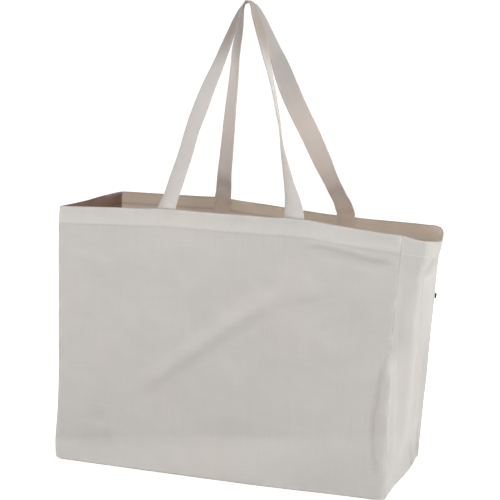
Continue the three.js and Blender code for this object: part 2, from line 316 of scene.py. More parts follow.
def pucker(along, distance, seed, pitch, height, reach):
    """Fine ripples that run away from a row of stitching."""
    phase = 2.2 * noise2(along / 40 + seed, seed + along * 0)
    return (height * np.sin(2 * np.pi * along / pitch + phase) * np.exp(-np.abs(distance) / reach)
            * (0.55 + 0.9 * noise2(along / 23 + seed * 3, along * 0 + 0.5)))


def seam_puckers(along, z, from_start, to_end, seed, start, end, base):
    """Puckers along both upright seams and the base; each is given as pitch, height, reach."""
    return (pucker(z, from_start, seed + 4, *start) + pucker(z, to_end, seed + 5, *end)
            + pucker(along, z, seed + 6, *base))


def hem_relief(along, to_rim, seed):
    """The hem puffs between its fold and its stitching, and the stitching pulls in."""
    out = 0.7 * bell(to_rim, 11, 8.5) - 0.4 * bell(to_rim, 23, 1.5) - 0.18 * bell(to_rim, 3.2, 1.2)
    out += pucker(along, to_rim - 23, seed, pitch=10.5, height=0.34, reach=10.0)
    return out + (0.28 * noise2(along / 17 + seed, to_rim / 12 + seed)
                  * (1 - ease(24, 40, to_rim)))


def panel_relief(x, z, start_x, end_x, rim, relief, fold_table, fan, fan_x, end_pucker):
    """What the front and rear panels share."""
    from_start, to_end, to_rim = x - start_x(z), end_x(z) - x, rim(x) - z
    out = held_undulation(x, z, from_start, to_end, to_rim, relief, 14, 26)
    out += folds(x, z, fold_table)
    for middle in fan_x:
        out += folds(x - middle, z, fan)
    out += hem_relief(x, to_rim, relief.stitch_seed)
    return out + seam_puckers(x, z, from_start, to_end, relief.stitch_seed,
                              start=(12, 0.42, 8), end=(11, end_pucker, 8), base=(12, 0.3, 7))


def bow(x):
    return np.sin(np.pi * np.clip((x + 250) / 500, 0, 1))


def front_relief(x, z):
    out = panel_relief(x, z, front_left_x, front_right_x, front_rim_z, Relief(1, 0, 1.0, 1),
                       FRONT_FOLDS, FRONT_FAN, FRONT_HANDLE_X, 0.45)
    # the base's edge pushes out a low band
    flare = np.log1p(np.exp(np.clip((base_line(x) - z) / 5.0, -30, 30)))
    out += 0.75 * flare * (1 - 0.68 * ease(60, 200, x))
    # the whole sheet bows out low down, where the base holds it open, and in higher up
    return out + 2.6 * bow(x) * bell(z, 40, 110) - 1.6 * bow(x) * bell(z, 290, 80)


def rear_relief(x, z):
    out = panel_relief(x, z, rear_left_x, rear_right_x, rear_rim_z, Relief(2, 900, 1.15, 11),
                       REAR_FOLDS, REAR_FAN, REAR_FAN_X, 0.42)
    out += 2.2 * bow(x) * bell(z, 120, 100)
    out += 6.0 * bell(x, 205, 55) * bell(z, 0, 120)     # the curled corner swells out behind
    # the folded gussets need their room
    return out + 1.5 * ease(120, 170, -x) + 3.2 * ease(95, 145, x)


def gusset_relief(y, z, rear_y, rim, relief, fold_table):
    """Relief of a gusset, on top of its bow out to the crease, which stays on its line."""
    off_crease = ease(0, 16, np.abs(y))
    from_start, to_end, to_rim = y - FRONT_SEAM_Y, rear_y(z) - y, rim(y) - z
    out = held_undulation(y, z, from_start, to_end, to_rim, relief, 9, 20)
    out = (out + folds(y, z, fold_table)) * off_crease
    out += hem_relief(y, to_rim, relief.stitch_seed) * (0.3 + 0.7 * off_crease)
    out += seam_puckers(y, z, from_start, to_end, relief.stitch_seed,
                        start=(11, 0.4, 7), end=(11, 0.4, 7), base=(11, 0.28, 6))
    # the pressed crease
    return out - 0.75 * bell(y, 0, 1.6) + 0.35 * bell(np.abs(y), 4.5, 3.0)


def right_relief(y, z):
    return gusset_relief(y, z, rear_right_y, right_rim_z, Relief(3, 2000, 1.25, 21), RIGHT_FOLDS)


def left_relief(y, z):
    return gusset_relief(y, z, rear_left_y, left_rim_z, Relief(4, 3000, 1.2, 31), LEFT_FOLDS)


# ------------------------------------------------------------------ outer surface of each face
# outward: sign along Y (panels) or X (gussets); winding: sign that turns its normals outwards
Face = namedtuple("Face", "outward winding length start end rim relief")
FACES = {
    "front": Face(-1, 1, WIDTH, FRONT_LEFT, FRONT_RIGHT, front_rim_z, front_relief),
    "rear": Face(1, -1, WIDTH, REAR_LEFT, REAR_RIGHT, rear_rim_z, rear_relief),
    "right": Face(1, 1, DEPTH, FRONT_RIGHT, REAR_RIGHT, right_rim_z, right_relief),
    "left": Face(-1, -1, DEPTH, FRONT_LEFT, REAR_LEFT, left_rim_z, left_relief)}


def on_corner(corner, level):
    z = corner.foot + level * (corner.top - corner.foot)
    return corner.x(z), corner.y(z)


def round_seam(gap):
    """A point gap mm from an upright seam: its distance along the face, and its depth inside."""
    arc = CORNER_R * math.pi / 4
    angle = math.pi / 4 + np.clip(gap / arc, 0, 1) * (math.pi / 4)
    groove = 0.55 * bell(gap, 0, 0.9) * 0.7
    reach = np.where(gap < arc, CORNER_R - CORNER_R * np.cos(angle), CORNER_R + (gap - arc))
    depth = np.where(gap < arc, CORNER_R - CORNER_R * np.sin(angle), 0.0)
    return reach + groove, depth + groove


def seam_rounding(along, length):
    """Shift along a face and depth inside it, from the rounding of both its seams."""
    to_end = length - along
    near, near_depth = round_seam(along)
    far, far_depth = round_seam(to_end)
    shift = (near - along) * (1 - ease(3, 30, along)) - (far - to_end) * (1 - ease(3, 30, to_end))
    return shift, near_depth + far_depth


def turn_in(above):
    """How far the cloth turns in under the bag, above its lowest edge."""
    rest = FOOT_R - np.clip(above, 0, FOOT_R)
    return FOOT_R - np.sqrt(np.maximum(FOOT_R**2 - rest**2, 0))


def panel_surface(face, along, level):
    (start_x, start_y), (end_x, end_y) = (on_corner(c, level) for c in (face.start, face.end))
    share = along / face.length
    shift, depth = seam_rounding(along, face.length)
    x = start_x + (end_x - start_x) * share + shift
    y = start_y + (end_y - start_y) * share
    foot_z = lift(x, y)
    z = foot_z + (face.rim(x) - foot_z) * level
    out = face.relief(x, z) * ease(0, 7, np.minimum(along, face.length - along))
    return np.stack([x, y + face.outward * (out - depth - turn_in(z - foot_z)), z], -1)


def gusset_surface(face, along, level):
    (front_x, _), (rear_x, rear_y) = (on_corner(c, level) for c in (face.start, face.end))
    share = along / face.length
    shift, depth = seam_rounding(along, face.length)
    y = np.where(share < 0.5, -HALF_DEPTH + HALF_DEPTH * (share * 2), rear_y * (share * 2 - 1))
    y = y + shift
    x = np.where(share < 0.5, front_x, rear_x)
    # the bow out to the crease dies out towards the base
    base_pull = 11.8 if face.outward > 0 else 3.0
    crease_x = CREASE_X - base_pull * (1 - ease(0, 130, level * HEIGHT))
    x = x + (face.outward * crease_x - x) * np.sin(share * math.pi) ** 1.15
    foot_z = lift(x, y)
    z = foot_z + (face.rim(y) - foot_z) * level
    out = face.relief(y, z) * ease(0, 7, np.minimum(along, face.length - along))
    return np.stack([x + face.outward * (out - depth - turn_in(z - foot_z)), y, z], -1)


def surface(name, along, level):
    """Points of a face, along mm from its left or front seam; level is 0 at the base, 1 at the rim."""
    face = FACES[name]
    if name in ("front", "rear"):
        return panel_surface(face, along, level)
    points = gusset_surface(face, along, level)
    mirrored = gusset_surface(face, face.length - along, level)
    # folded flat, the two halves together may not stand out further than their crease
    room = CREASE_ROOM - 0.7 * ease(0, 9, np.abs(along - HALF_DEPTH))
    over = face.outward * points[..., 0] - GUSSET_X + face.outward * mirrored[..., 0] - GUSSET_X
    points[..., 0] -= face.outward * np.maximum(over - room, 0) / 2
    return points


# ------------------------------------------------------------------ meshes
BUILT = {}


def link(obj):
    bpy.context.scene.collection.objects.link(obj)
    return obj


def make_mesh(name, points, faces, cloth, wear_and_shade=None):
    """A smooth mesh from mm points. cloth holds weft and warp places in m and 1 on the inside;
    wear_and_shade holds rubbed edge, a band (the hem, or on a strap its painted shade), and painted
    light and shade."""
    mesh = bpy.data.meshes.new(name)
    mesh.from_pydata([tuple(p) for p in np.asarray(points, float) * MM], [], faces)
    mesh.validate()
    mesh.polygons.foreach_set("use_smooth", np.ones(len(mesh.polygons), bool))
    mesh.update()
    BUILT[name] = link(bpy.data.objects.new(name, mesh))
    for label, values in (("cloth", cloth), ("wear_and_shade", wear_and_shade)):
        if values is not None:
            attribute = mesh.attributes.new(label, "FLOAT_VECTOR", "POINT")
            attribute.data.foreach_set("vector", np.asarray(values, np.float32).ravel())


def tube_faces(rows, size):
    return [(i * size + j, i * size + (j + 1) % size,
             (i + 1) * size + (j + 1) % size, (i + 1) * size + j)
            for i in range(rows - 1) for j in range(size)]


# ------------------------------------------------------------------ sheets of cloth
Sheet = namedtuple("Sheet", "columns levels outer normals thickness")
SHEETS = {}


def column_stations(start, end, seam_start, seam_end, step):
    """Columns: fine beside a seam, even elsewhere."""
    fine = np.array([0, 0.35, 0.75, 1.2, 1.7, 2.2, 3.0, 4.2, 6.0])
    even_from = start + (6.0 if seam_start else 0)
    even_to = end - (6.0 if seam_end else 0)
    count = max(2, int(round((even_to - even_from) / step)))
    parts = [[start, end], np.linspace(even_from, even_to, count + 1)]
    if seam_start:
        parts.append(start + fine)
    if seam_end:
        parts.append(end - fine)
    stations = np.unique(np.round(np.concatenate(parts), 4))
    return stations[np.concatenate([[True], np.diff(stations) > 0.2])]


def level_stations(step=3.0):
    """Levels from 0 to 1: fine at the base and over the hem."""
    low = np.array([0, 0.1, 0.35, 0.8, 1.5, 2.4, 3.3, 5.0])
    body = np.linspace(7, HEIGHT - HEM - 6, int((HEIGHT - HEM - 13) / step) + 1)
    hem = HEIGHT - np.array([
        HEM + 3.2, HEM + 1.4, HEM + 0.5, HEM - 0.1, HEM - 0.8, HEM - 2, HEM - 3.4,
        19.4, 16.5, 13.5, 10.5, 7.8, 5.2, 3.2, 1.6, 0.6, 0])
    return np.unique(np.round(np.concatenate([low, body, hem]), 4)) / HEIGHT


def surface_normals(name, along, level, reach=0.05):
    face, rise = FACES[name], reach / HEIGHT
    d_along = (surface(name, np.minimum(along + reach, face.length), level)
               - surface(name, np.maximum(along - reach, 0), level))
    d_level = (surface(name, along, np.minimum(level + rise, 1))
               - surface(name, along, np.maximum(level - rise, 0)))
    normals = np.cross(d_along, d_level)
    return normals * (face.winding / (np.linalg.norm(normals, axis=-1, keepdims=True) + 1e-12))


def cloth_thickness(name, along, drop, seam_gaps):
    thickness = CLOTH_T + (HEM_T - CLOTH_T) * (1 - ease(HEM - 0.4, HEM + 0.9, drop))
    # the hem's inner face is uneven, and a bound seam thickens it beside the corners
    in_hem = drop < HEM - 0.5
    thickness = thickness + (0.25 * noise2(along / 14 + 5, drop / 9) + 0.12) * in_hem * ease(0, 3, drop)
    for gap in seam_gaps:
        thickness = thickness + (0.9 * (1 - ease(8.5, 10.5, gap)) * in_hem
                                 * ease(0, 4, drop) * ease(1.0, 4, gap))
    for gap in seam_gaps:
        thickness = thickness * (0.55 + 0.45 * ease(0, 2.0, gap))
    if name == "left":                    # pressed thin along its crease
        thickness = thickness * (0.5 + 0.5 * ease(0, 2.4, np.abs(along - HALF_DEPTH)))
    return thickness


def painted_light_and_shade(name, along, z):
    """Painted light and shade, as a share of the cloth's colour: on the front a lighter low band and
    left side and a darker dimple, on the right gusset darker patches.
    """
    if name == "front":
        low_band = (1 - ease(-7, 9, z - (base_line(along) + 2))) * (1 - 0.65 * ease(60, 180, along))
        dimple = bell(along, -185, 34) * bell(z, 62, 15)
        return 0.155 * low_band + 0.035 * ease(120, -240, along) - 0.05 * dimple
    if name == "right":
        front_edge = along - 0.8 * np.maximum(z - 262, 0)
        return (-0.17 * ease(175, 215, z) * (1 - ease(-72, -28, front_edge))
                - 0.05 * ease(292, 318, z)
                - 0.13 * (1 - ease(140, 230, z)) * ease(0, 84, along)
                - 0.06 * (1 - ease(40, 90, z)) * ease(-30, 50, along))
    return 0.0 * z


def sheet_wear_and_shade(name, points, level, drop, seam_gap):
    """The wear and painted shade attribute around a sheet's section: outside, rim and inside."""
    edge = np.maximum.reduce([np.exp(-seam_gap / 3.5), np.exp(-level * HEIGHT / 5.0),
                              np.exp(-drop / 1.6)])
    band = 1 - ease(HEM - 2.5, HEM - 1.5, drop)
    if name == "right":
        band = band * 0.25
    along = points[..., 0] if name in ("front", "rear") else points[..., 1]
    # painted light and shade, with painted shade along the hem stitching
    painted_shading = painted_light_and_shade(name, along, points[..., 2]) - 0.03 * bell(drop, HEM_STITCH_DROP, 1.3)
    outside = np.stack([edge, band, painted_shading], -1)
    # painted shade inside: darker lines along the turned-in edge and at the rim; on the rear the edge
    # line stays on the left part
    inside = outside[:, ::-1].copy()
    inner_drop = drop[:, ::-1]
    shown = (1 - ease(60, 170, points[:, ::-1, 0])) if name == "rear" else 1.0
    inside[..., 2] = (-0.26 * bell(inner_drop, 17, 1.0) * shown
                      - 0.26 * bell(inner_drop, 0, 1.5) - 0.05 * bell(inner_drop, 17, 5))
    return np.concatenate([outside, np.repeat(outside[:, -1:], 3, 1), inside], 1)


def sheet_faces(columns, levels, size, winding):
    """Faces of a closed sheet whose section has size points, with a cap at each end."""
    faces = []
    for i in range(columns - 1):
        near, far = i * size, (i + 1) * size
        for j in range(size):
            k = (j + 1) % size
            quad = (near + j, far + j, far + k, near + k)
            faces.append(quad if winding > 0 else quad[::-1])
    for i, last in ((0, False), (columns - 1, True)):
        first = i * size
        cap = [(first + j, first + j + 1, first + size - 2 - j, first + size - 1 - j)
               for j in range(levels - 1)]
        cap.append(tuple(first + j for j in range(levels - 1, levels + 4)))
        faces += [part if last == (winding < 0) else part[::-1] for part in cap]
    return faces


def sheet(piece, name, start, end, step=2.8):
    """A closed piece of a face's cloth: outer surface, rolled rim, hem, inner surface."""
    face = FACES[name]
    seam_start, seam_end = start == 0, end == face.length
    columns = column_stations(start, end, seam_start, seam_end, step)
    levels = level_stations()
    along, level = np.meshgrid(columns, levels, indexing="ij")
    outer = surface(name, along, level)
    normals = surface_normals(name, along, level)
    drop = (1 - level) * HEIGHT
    seam_gaps = ([along - start] if seam_start else []) + ([end - along] if seam_end else [])
    seam_gap = np.minimum.reduce([np.full(along.shape, 99.0)] + seam_gaps)
    thickness = cloth_thickness(name, along, drop, seam_gaps)
    inner = outer - normals * thickness[..., None]
    inner[:, 0, 2] = np.maximum(inner[:, 0, 2], 0.2)

    top, radius = outer[:, -1], thickness[:, -1] / 2
    sideways = normals[:, -1].copy()
    sideways[:, 2] = 0
    sideways = unit(sideways)
    roll = []
    for turn in np.radians((45, 90, 135)):
        point = top - sideways * (radius * (1 - math.cos(turn)))[:, None]
        point[:, 2] += radius * math.sin(turn) * 0.9
        roll.append(point)
    section = np.concatenate([outer, np.stack(roll, 1), inner[:, ::-1]], 1)

    height = level * HEIGHT
    weft = np.concatenate([along, np.repeat(along[:, -1:], 3, 1), along[:, ::-1]], 1)
    warp = np.concatenate([height, HEIGHT + np.array([[0.8, 1.6, 2.4]]) + 0 * height[:, -1:],
                           2 * HEIGHT + 3.2 - height[:, ::-1]], 1)
    inside = np.concatenate([0 * height, np.array([[0.0, 0.5, 1.0]]) + 0 * height[:, -1:],
                             ease(3, 9, height[:, ::-1])], 1)
    if name == "right":                   # deep in the bottom corners the inside's painted shade and glow are left off
        inside[:, len(levels) + 3:] *= np.maximum(
            ease(12, 30, seam_gap), ease(60, 110, outer[..., 2]))[:, ::-1]
    cloth = np.stack([weft * MM, warp * MM, inside], -1)
    make_mesh(f"{piece}_cloth", section.reshape(-1, 3),
              sheet_faces(len(columns), len(levels), section.shape[1], face.winding),
              cloth, sheet_wear_and_shade(name, outer, level, drop, seam_gap))
    SHEETS[piece] = Sheet(columns, levels, outer, normals, thickness)


def on_sheet(piece, along, drop, inner=False):
    """Point and normal of a built sheet, along mm along its face and drop mm below the rim."""
    columns, levels, outer, normals, thickness = SHEETS[piece]
    level = 1 - drop / HEIGHT
    i = int(np.clip(np.searchsorted(columns, along) - 1, 0, len(columns) - 2))
    j = int(np.clip(np.searchsorted(levels, level) - 1, 0, len(levels) - 2))
    t = (along - columns[i]) / (columns[i + 1] - columns[i])
    k = (level - levels[j]) / (levels[j + 1] - levels[j])

    def mix(grid):
        return (grid[i, j] * (1 - t) * (1 - k) + grid[i + 1, j] * t * (1 - k)
                + grid[i, j + 1] * (1 - t) * k + grid[i + 1, j + 1] * t * k)
    point, normal = mix(outer), unit(mix(normals))
    return (point - normal * mix(thickness), -normal) if inner else (point, normal)


def base_sheet():
    """The base: one soft sheet that lies on the ground and meets the four bottom edges."""
    columns, rows, inset = 140, 58, 1.6
    shares_x, shares_y = np.linspace(0, 1, columns), np.linspace(0, 1, rows)
    share_x, share_y = np.meshgrid(shares_x, shares_y, indexing="ij")
    front, rear = (surface(f, shares_x * WIDTH, 0 * shares_x) for f in ("front", "rear"))
    left, right = (surface(f, shares_y * DEPTH, 0 * shares_y) for f in ("left", "right"))
    front[:, 1] += inset
    rear[:, 1] -= inset
    left[:, 0] += inset
    right[:, 0] -= inset
    for edge in (front, rear):
        edge[:, 0] = np.clip(edge[:, 0], edge[0, 0] + inset, edge[-1, 0] - inset)
    to_right, to_rear = share_x[..., None], share_y[..., None]
    points = ((1 - to_rear) * front[:, None] + to_rear * rear[:, None]
              + (1 - to_right) * left[None] + to_right * right[None]
              - (1 - to_right) * (1 - to_rear) * front[0] - to_right * (1 - to_rear) * front[-1]
              - (1 - to_right) * to_rear * rear[0] - to_right * to_rear * rear[-1])
    x, y = points[..., 0], points[..., 1]
    edge_gap = np.minimum.reduce([share_x * 500, (1 - share_x) * 500,
                                  share_y * 200, (1 - share_y) * 200])
    ripple = 1.3 * noise2(x / 70, y / 46) + 0.5 * noise2(x / 26, y / 22) + 0.9
    z = lift(x, y) + 0.25 + np.maximum(ripple * ease(0, 22, edge_gap), 0) * 1.1
    top, bottom = np.stack([x, y, z + CLOTH_T], -1), np.stack([x, y, z], -1)

    count = columns * rows
    index = np.arange(count).reshape(columns, rows)
    faces = []
    for i in range(columns - 1):
        for j in range(rows - 1):
            quad = (index[i, j], index[i + 1, j], index[i + 1, j + 1], index[i, j + 1])
            faces.append(quad)
            faces.append(tuple(quad[k] + count for k in (0, 3, 2, 1)))
    outline = (list(index[:, 0]) + list(index[-1, 1:]) + list(index[-2::-1, -1])
               + list(index[0, -2:0:-1]))
    for here, after in zip(outline, outline[1:] + outline[:1]):
        faces.append((here, here + count, after + count, after))

    cloth = np.stack([x * MM, y * MM, ease(2, 8, edge_gap)], -1).reshape(-1, 3)
    under = cloth.copy()
    under[:, 2] = 0
    wear_and_shade = np.stack([np.exp(-edge_gap / 5), 0 * x, 0 * x], -1).reshape(-1, 3)
    make_mesh("base_cloth", np.concatenate([top.reshape(-1, 3), bottom.reshape(-1, 3)]), faces,
              np.concatenate([cloth, under]), np.concatenate([wear_and_shade, wear_and_shade]))


CREASE_START, CREASE_END = HALF_DEPTH - CREASE_HALF, HALF_DEPTH + CREASE_HALF
sheet("front_panel", "front", 0.0, WIDTH)
sheet("rear_panel", "rear", 0.0, WIDTH)
sheet("right_gusset_front", "right", 0.0, CREASE_START)
sheet("right_gusset_crease", "right", CREASE_START, CREASE_END, step=0.9)
sheet("right_gusset_rear", "right", CREASE_END, DEPTH)
sheet("left_gusset_front", "left", 0.0, HALF_DEPTH)
sheet("left_gusset_rear", "left", HALF_DEPTH, DEPTH)
base_sheet()


# ------------------------------------------------------------------ stitches
def stitch(start, end, up, radius):
    """Points of one stitch that lies on cloth, six to a ring."""
    direction = end - start
    length = np.linalg.norm(direction)
    direction = direction / length
    side = unit(np.cross(up, direction))
    up = np.cross(direction, side)
    points = []
    # share of the length, share of the radius, height in radii
    for share, size, rise in ((0.0, 0.35, -0.75), (0.12, 0.85, -0.2), (0.5, 1.0, 0.12),
                              (0.88, 0.85, -0.2), (1.0, 0.35, -0.75)):
        for j in range(6):
            angle = 2 * math.pi * j / 6
            points.append(start + direction * length * share
                          + side * math.cos(angle) * radius * size
                          + up * (math.sin(angle) * radius * size * 0.8 + rise * radius))
    return points


STITCH_FACES = tube_faces(5, 6) + [tuple(range(6))[::-1], tuple(range(24, 30))]


def stitches(name, places, radius=0.34):
    """One mesh of stitches from (start, end, up) places in mm."""
    points, faces, cloth = [], [], []
    for start, end, up in places:
        first = len(points)
        points += stitch(start, end, up, radius)
        faces += [tuple(index + first for index in face) for face in STITCH_FACES]
        cloth += [(i * 0.0004, first * 0.00001, 0) for i in range(30)]
    make_mesh(name, points, faces, cloth)


def stitch_row(piece, start, end, inner=False, pitch=3.2, length=2.5, proud=0.16):
    """Places of a row of stitches between two (along, drop) points of a sheet."""
    (start_along, start_drop), (end_along, end_drop) = start, end
    total = math.hypot(end_along - start_along, end_drop - start_drop)
    count = max(1, int(total / pitch))
    half = length / total / 2
    places = []
    for i in range(count):
        middle = (i + 0.5) / count
        jitter = 0.10 * math.sin(i * 2.399 + start_along)
        (first, first_up), (last, last_up) = (
            on_sheet(piece, start_along + (end_along - start_along) * share,
                     start_drop + (end_drop - start_drop) * share + jitter, inner)
            for share in (middle - half, middle + half))
        up = unit(first_up + last_up)
        places.append((first + up * proud, last + up * proud, up))
    return places


def along_panel(name, x, z=360.0):
    """Distance along a wide panel of the place at x."""
    left, right = float(FACES[name].start.x(z)), float(FACES[name].end.x(z))
    return (x - left) / (right - left) * 2 * HALF_WIDTH


def box_row(name, middle_x, inner, top=3.2, bottom=22.6, half=10.2):
    """A box with both diagonals, sewn over a strap end."""
    left, right = (along_panel(name, middle_x + d) for d in (-half, half))
    top_left, top_right = (left, top), (right, top)
    low_left, low_right = (left, bottom), (right, bottom)
    places = []
    for start, end in ((top_left, top_right), (top_right, low_right), (low_right, low_left),
                       (low_left, top_left), (top_left, low_right), (top_right, low_left)):
        places += stitch_row(f"{name}_panel", start, end, inner, pitch=2.7, length=2.1)
    return places


# ------------------------------------------------------------------ handles
# Centre line: x, mm above the rim along the leaning plane, ribbon direction and cupping (degrees)
FRONT_PATH = [
    (-91.5, -24.2, 0, 0), (-91.5, -12, 0, 0), (-91.0, -3, -5, 22), (-90.0, 6, -13, 46),
    (-87.6, 18, -18, 52), (-84.0, 35, -18, 44), (-77.0, 71, -21, 30), (-71.7, 108, -23, 26),
    (-64.2, 144, -19, 24), (-55.0, 181, -25, 20), (-44.6, 218, -35, 20), (-35.6, 255, -46, 16),
    (-29.3, 281, -55, 12), (-25.2, 293.5, -64, 8), (-21.5, 300.0, -70, 4), (-16.0, 303.0, -73, 0),
    (-10.5, 301.0, -77, 0), (-6.0, 295.0, -83, 6), (-1.0, 284, -90, 10), (8.7, 263, -96, 14),
    (21.1, 230, -89, 16), (33.5, 197, -81, 18), (45.2, 164, -77, 18), (56.6, 131, -74, 20),
    (65.3, 98, -63, 26), (75.9, 66, -50, 34), (86.8, 35, -36, 46), (92.9, 18, -20, 42),
    (97.0, 6, -8, 30), (98.5, -3, -2, 10), (98.5, -12, 0, 0), (98.5, -24.2, 0, 0)]
REAR_PATH = [
    (-84.0, -20.4, 0, 0), (-84.0, -8, 0, 0), (-82.6, 1, -8, 44), (-80.4, 9, -14, 68),
    (-77.6, 22, -16, 78), (-74.6, 40, -20, 74), (-71.2, 72, -27, 40), (-67.2, 105, -32, 26),
    (-62.8, 137, -36, 20), (-57.3, 169, -40, 18), (-52.2, 201, -44, 18), (-47.4, 232, -47, 16),
    (-40.6, 263, -53, 12), (-36.0, 284, -60, 8), (-33.6, 293.5, -65, 4), (-30.2, 300.2, -70, 2),
    (-24.8, 303.0, -76, 0), (-18.5, 300.6, -82, 0), (-13.2, 294.0, -86, 4), (-7.6, 283, -90, 8),
    (0.8, 262, -94, 12), (10.4, 234, -108, 16), (20.4, 204, -134, 20), (31.6, 173, -152, 20),
    (44.4, 143, -161, 20), (58.5, 113, -165, 22), (71.7, 83, -176, 28), (87.0, 52, -190, 40),
    (97.6, 28, -190, 44), (105.2, 8, -186, 24), (107.8, -5, -182, 8), (107.8, -14, -180, 0),
    (107.8, -33.0, -180, 0)]

# Section of a strap: place across it from -1 to 1, and layer (1 on its face, -1 on its back)
ACROSS = [-0.985, -0.93, -0.87, -0.80, -0.72, -0.5, -0.25, 0,
          0.25, 0.5, 0.72, 0.80, 0.87, 0.93, 0.985]
STRAP_SECTION = ([(c, 1.0) for c in ACROSS] + [(1.02, 0.62), (1.035, 0.0), (1.02, -0.62)]
                 + [(c, -1.0) for c in ACROSS[::-1]]
                 + [(-1.02, -0.62), (-1.035, 0.0), (-1.02, 0.62)])


def strap_stations(path, side):
    """Stations 1.6 to 3.2 mm apart: run along the strap, centre, ribbon angle, cupping, height."""
    x, height, heading, cupping = np.array(path, float).T
    kink = 5.2 if side > 0 else np.where(x > 0, 5.0, 0.8)
    kink = kink * np.sin(np.pi * np.clip((height - 4) / 84, 0, 1)) ** 1.5
    inwards = height * math.sin(STRAP_LEAN) + kink
    if side < 0:
        x = x - 0.38 * kink
    y = side * (STRAP_Y - np.maximum(inwards, 0))
    z = STRAP_RIM_Z + np.where(height > 0, height * math.cos(STRAP_LEAN), height)
    centre = np.stack([x, y, z], -1)
    steps = np.linalg.norm(np.diff(centre, axis=0), axis=1)
    distance = np.concatenate([[0], np.cumsum(steps)])
    curve = spline(np.column_stack((distance, centre, heading, cupping, height)))
    runs, run = [0.0], 0.0
    while run < distance[-1]:
        up = curve(run)[5]
        run += 1.6 if up > 285 else (1.8 if up < 40 else 3.2)
        runs.append(min(run, distance[-1]))
    runs = np.array(runs)
    values = curve(runs)
    return (runs, values[:, :3], np.radians(values[:, 3]),
            np.radians(np.maximum(values[:, 4], 0)), values[:, 5])


def strap_surface(name, path):
    """Runs, heights and rows of a handle, and point(station, across, layer) on its surface."""
    face = FACES[name]
    side = face.outward
    run, centre, heading, cupping, height = strap_stations(path, side)
    tangent = unit(np.gradient(centre, run, axis=0))
    width_dir = np.stack([np.cos(heading), np.sin(heading), 0 * heading], -1)
    width_dir -= (width_dir * tangent).sum(1)[:, None] * tangent
    width_dir = unit(width_dir)
    normals = np.cross(tangent, width_dir)
    wobble = noise2(run / 46 + side * 7, run * 0 + 2.0)
    wobble = wobble + noise2(run / 17 + side * 3, run * 0 + 5.0) * 0.3
    centre = centre + normals * (wobble * ease(8, 60, height))[:, None]

    def sewn(i, across, layer, half_t):
        """A point of the strap where it lies on the panel's inner face."""
        narrow = 0.87 if centre[i][0] < 0 else 0.95
        x = centre[i][0] + across * STRAP_W / 2 * narrow * (1.0 if width_dir[i][0] > 0 else -1.0)
        drop = float(np.clip(face.rim(x) - centre[i][2], 0.6, 60))
        along = x - float(face.start.x(centre[i][2]))
        point, normal = on_sheet(f"{name}_panel", along, drop, inner=True)
        facing = layer * (1 if (normals[i] @ normal) > 0 else -1)
        point = point + normal * (STRAP_GAP + STRAP_T / 2 + facing * half_t)
        point[2] = centre[i][2]
        point[0] = x
        return point

    def point(i, across, layer):
        # hollow towards the middle of the bag, and flat where the strap stands edge on
        arc = cupping[i] * float(np.tanh(3.0 * normals[i][1] * side))
        if abs(arc) < 1e-3:
            arc = 1e-3
        radius, angle = STRAP_W / arc, across * arc / 2
        outward = normals[i] * math.cos(angle) + width_dir[i] * math.sin(angle)
        # thinner along its edge stitching, thicker outside of that
        half_t = STRAP_T / 2 - 0.16 * bell(abs(across), 0.80, 0.05)
        half_t += 0.10 * bell(abs(across), 0.91, 0.05)
        sag = radius * (1 - math.cos(angle)) - 0.4 * radius * (1 - math.cos(arc / 2))
        free = (centre[i] + width_dir[i] * (radius * math.sin(angle)) - normals[i] * sag
                + outward * (layer * half_t))
        conform = 1 - ease(-6.0, 4.0, height[i])
        if conform > 0:
            return free * (1 - conform) + sewn(i, across, layer, half_t) * conform
        return free

    rows = np.array([[point(i, *place) for place in STRAP_SECTION] for i in range(len(run))])
    return run, height, rows, point


def strap_piece(name, rows, run, height):
    """The part of a strap through these rows, closed at both ends."""
    count, size = rows.shape[:2]
    faces = tube_faces(count, size)
    flat = len(ACROSS)
    for i, reverse in ((0, True), (count - 1, False)):
        first = i * size
        # a strip of quads across the strap, and its two rounded edges
        cap = [(first + j, first + j + 1, first + size - 5 - j, first + size - 4 - j)
               for j in range(flat - 1)]
        cap.append(tuple(first + j for j in range(flat - 1, flat + 4)))
        cap.append(tuple(first + j for j in range(size - 4, size)) + (first,))
        faces += [part[::-1] if reverse else part for part in cap]
    across, layer = np.array(STRAP_SECTION).T
    shape = (count, size)
    cloth = np.stack([np.broadcast_to(across * STRAP_W / 2 * MM, shape),
                      np.broadcast_to(run[:, None] * MM, shape),
                      np.broadcast_to((layer < 0).astype(float), shape)], -1)
    edge = np.broadcast_to(ease(0.9, 1.02, np.abs(across)), shape)
    # painted shade: the grip is greyer, over a longer stretch on the rear handle's right part; the rear
    # handle is darker where it bends at the rim and browner inside the bag
    is_rear = name.startswith("rear")
    rear_right = ease(-5, 15, rows[..., 0].mean(1)) * is_rear
    grip_shade = (1 - rear_right) * ease(196, 262, height) + rear_right * ease(95, 235, height)
    grip_shade = grip_shade - (1 - ease(-8, 26, height)) * is_rear
    bend_shade = -0.18 * bell(height, 29, 9) * is_rear
    wear_and_shade = np.stack([edge, grip_shade[:, None] + 0 * edge, bend_shade[:, None] + 0 * edge], -1)
    make_mesh(name, rows.reshape(-1, 3), faces, cloth, wear_and_shade)


def edge_stitches(run, point, first, last, pitch=3.2, half=1.25):
    """Stitch places along both edges of a strap, on its face and its back."""
    start, end = run[first] + 0.6, run[last] - 0.6
    count = int((end - start) / pitch)

    def at(distance, across, layer):
        i = int(np.clip(np.searchsorted(run, distance) - 1, 0, len(run) - 2))
        t = (distance - run[i]) / (run[i + 1] - run[i])
        return i, point(i, across, layer) * (1 - t) + point(i + 1, across, layer) * t

    places = []
    for layer in (1.0, -1.0):
        for across in (-0.80, 0.80):
            for k in range(count):
                middle = start + (k + 0.5) * (end - start) / count
                _, near = at(middle - half, across, layer)
                i, far = at(middle + half, across, layer)
                up = point(i, across, layer) - point(i, across, 0.0)
                up = up / (np.linalg.norm(up) + 1e-9)
                places.append((near + up * 0.12, far + up * 0.12, up))
    return places


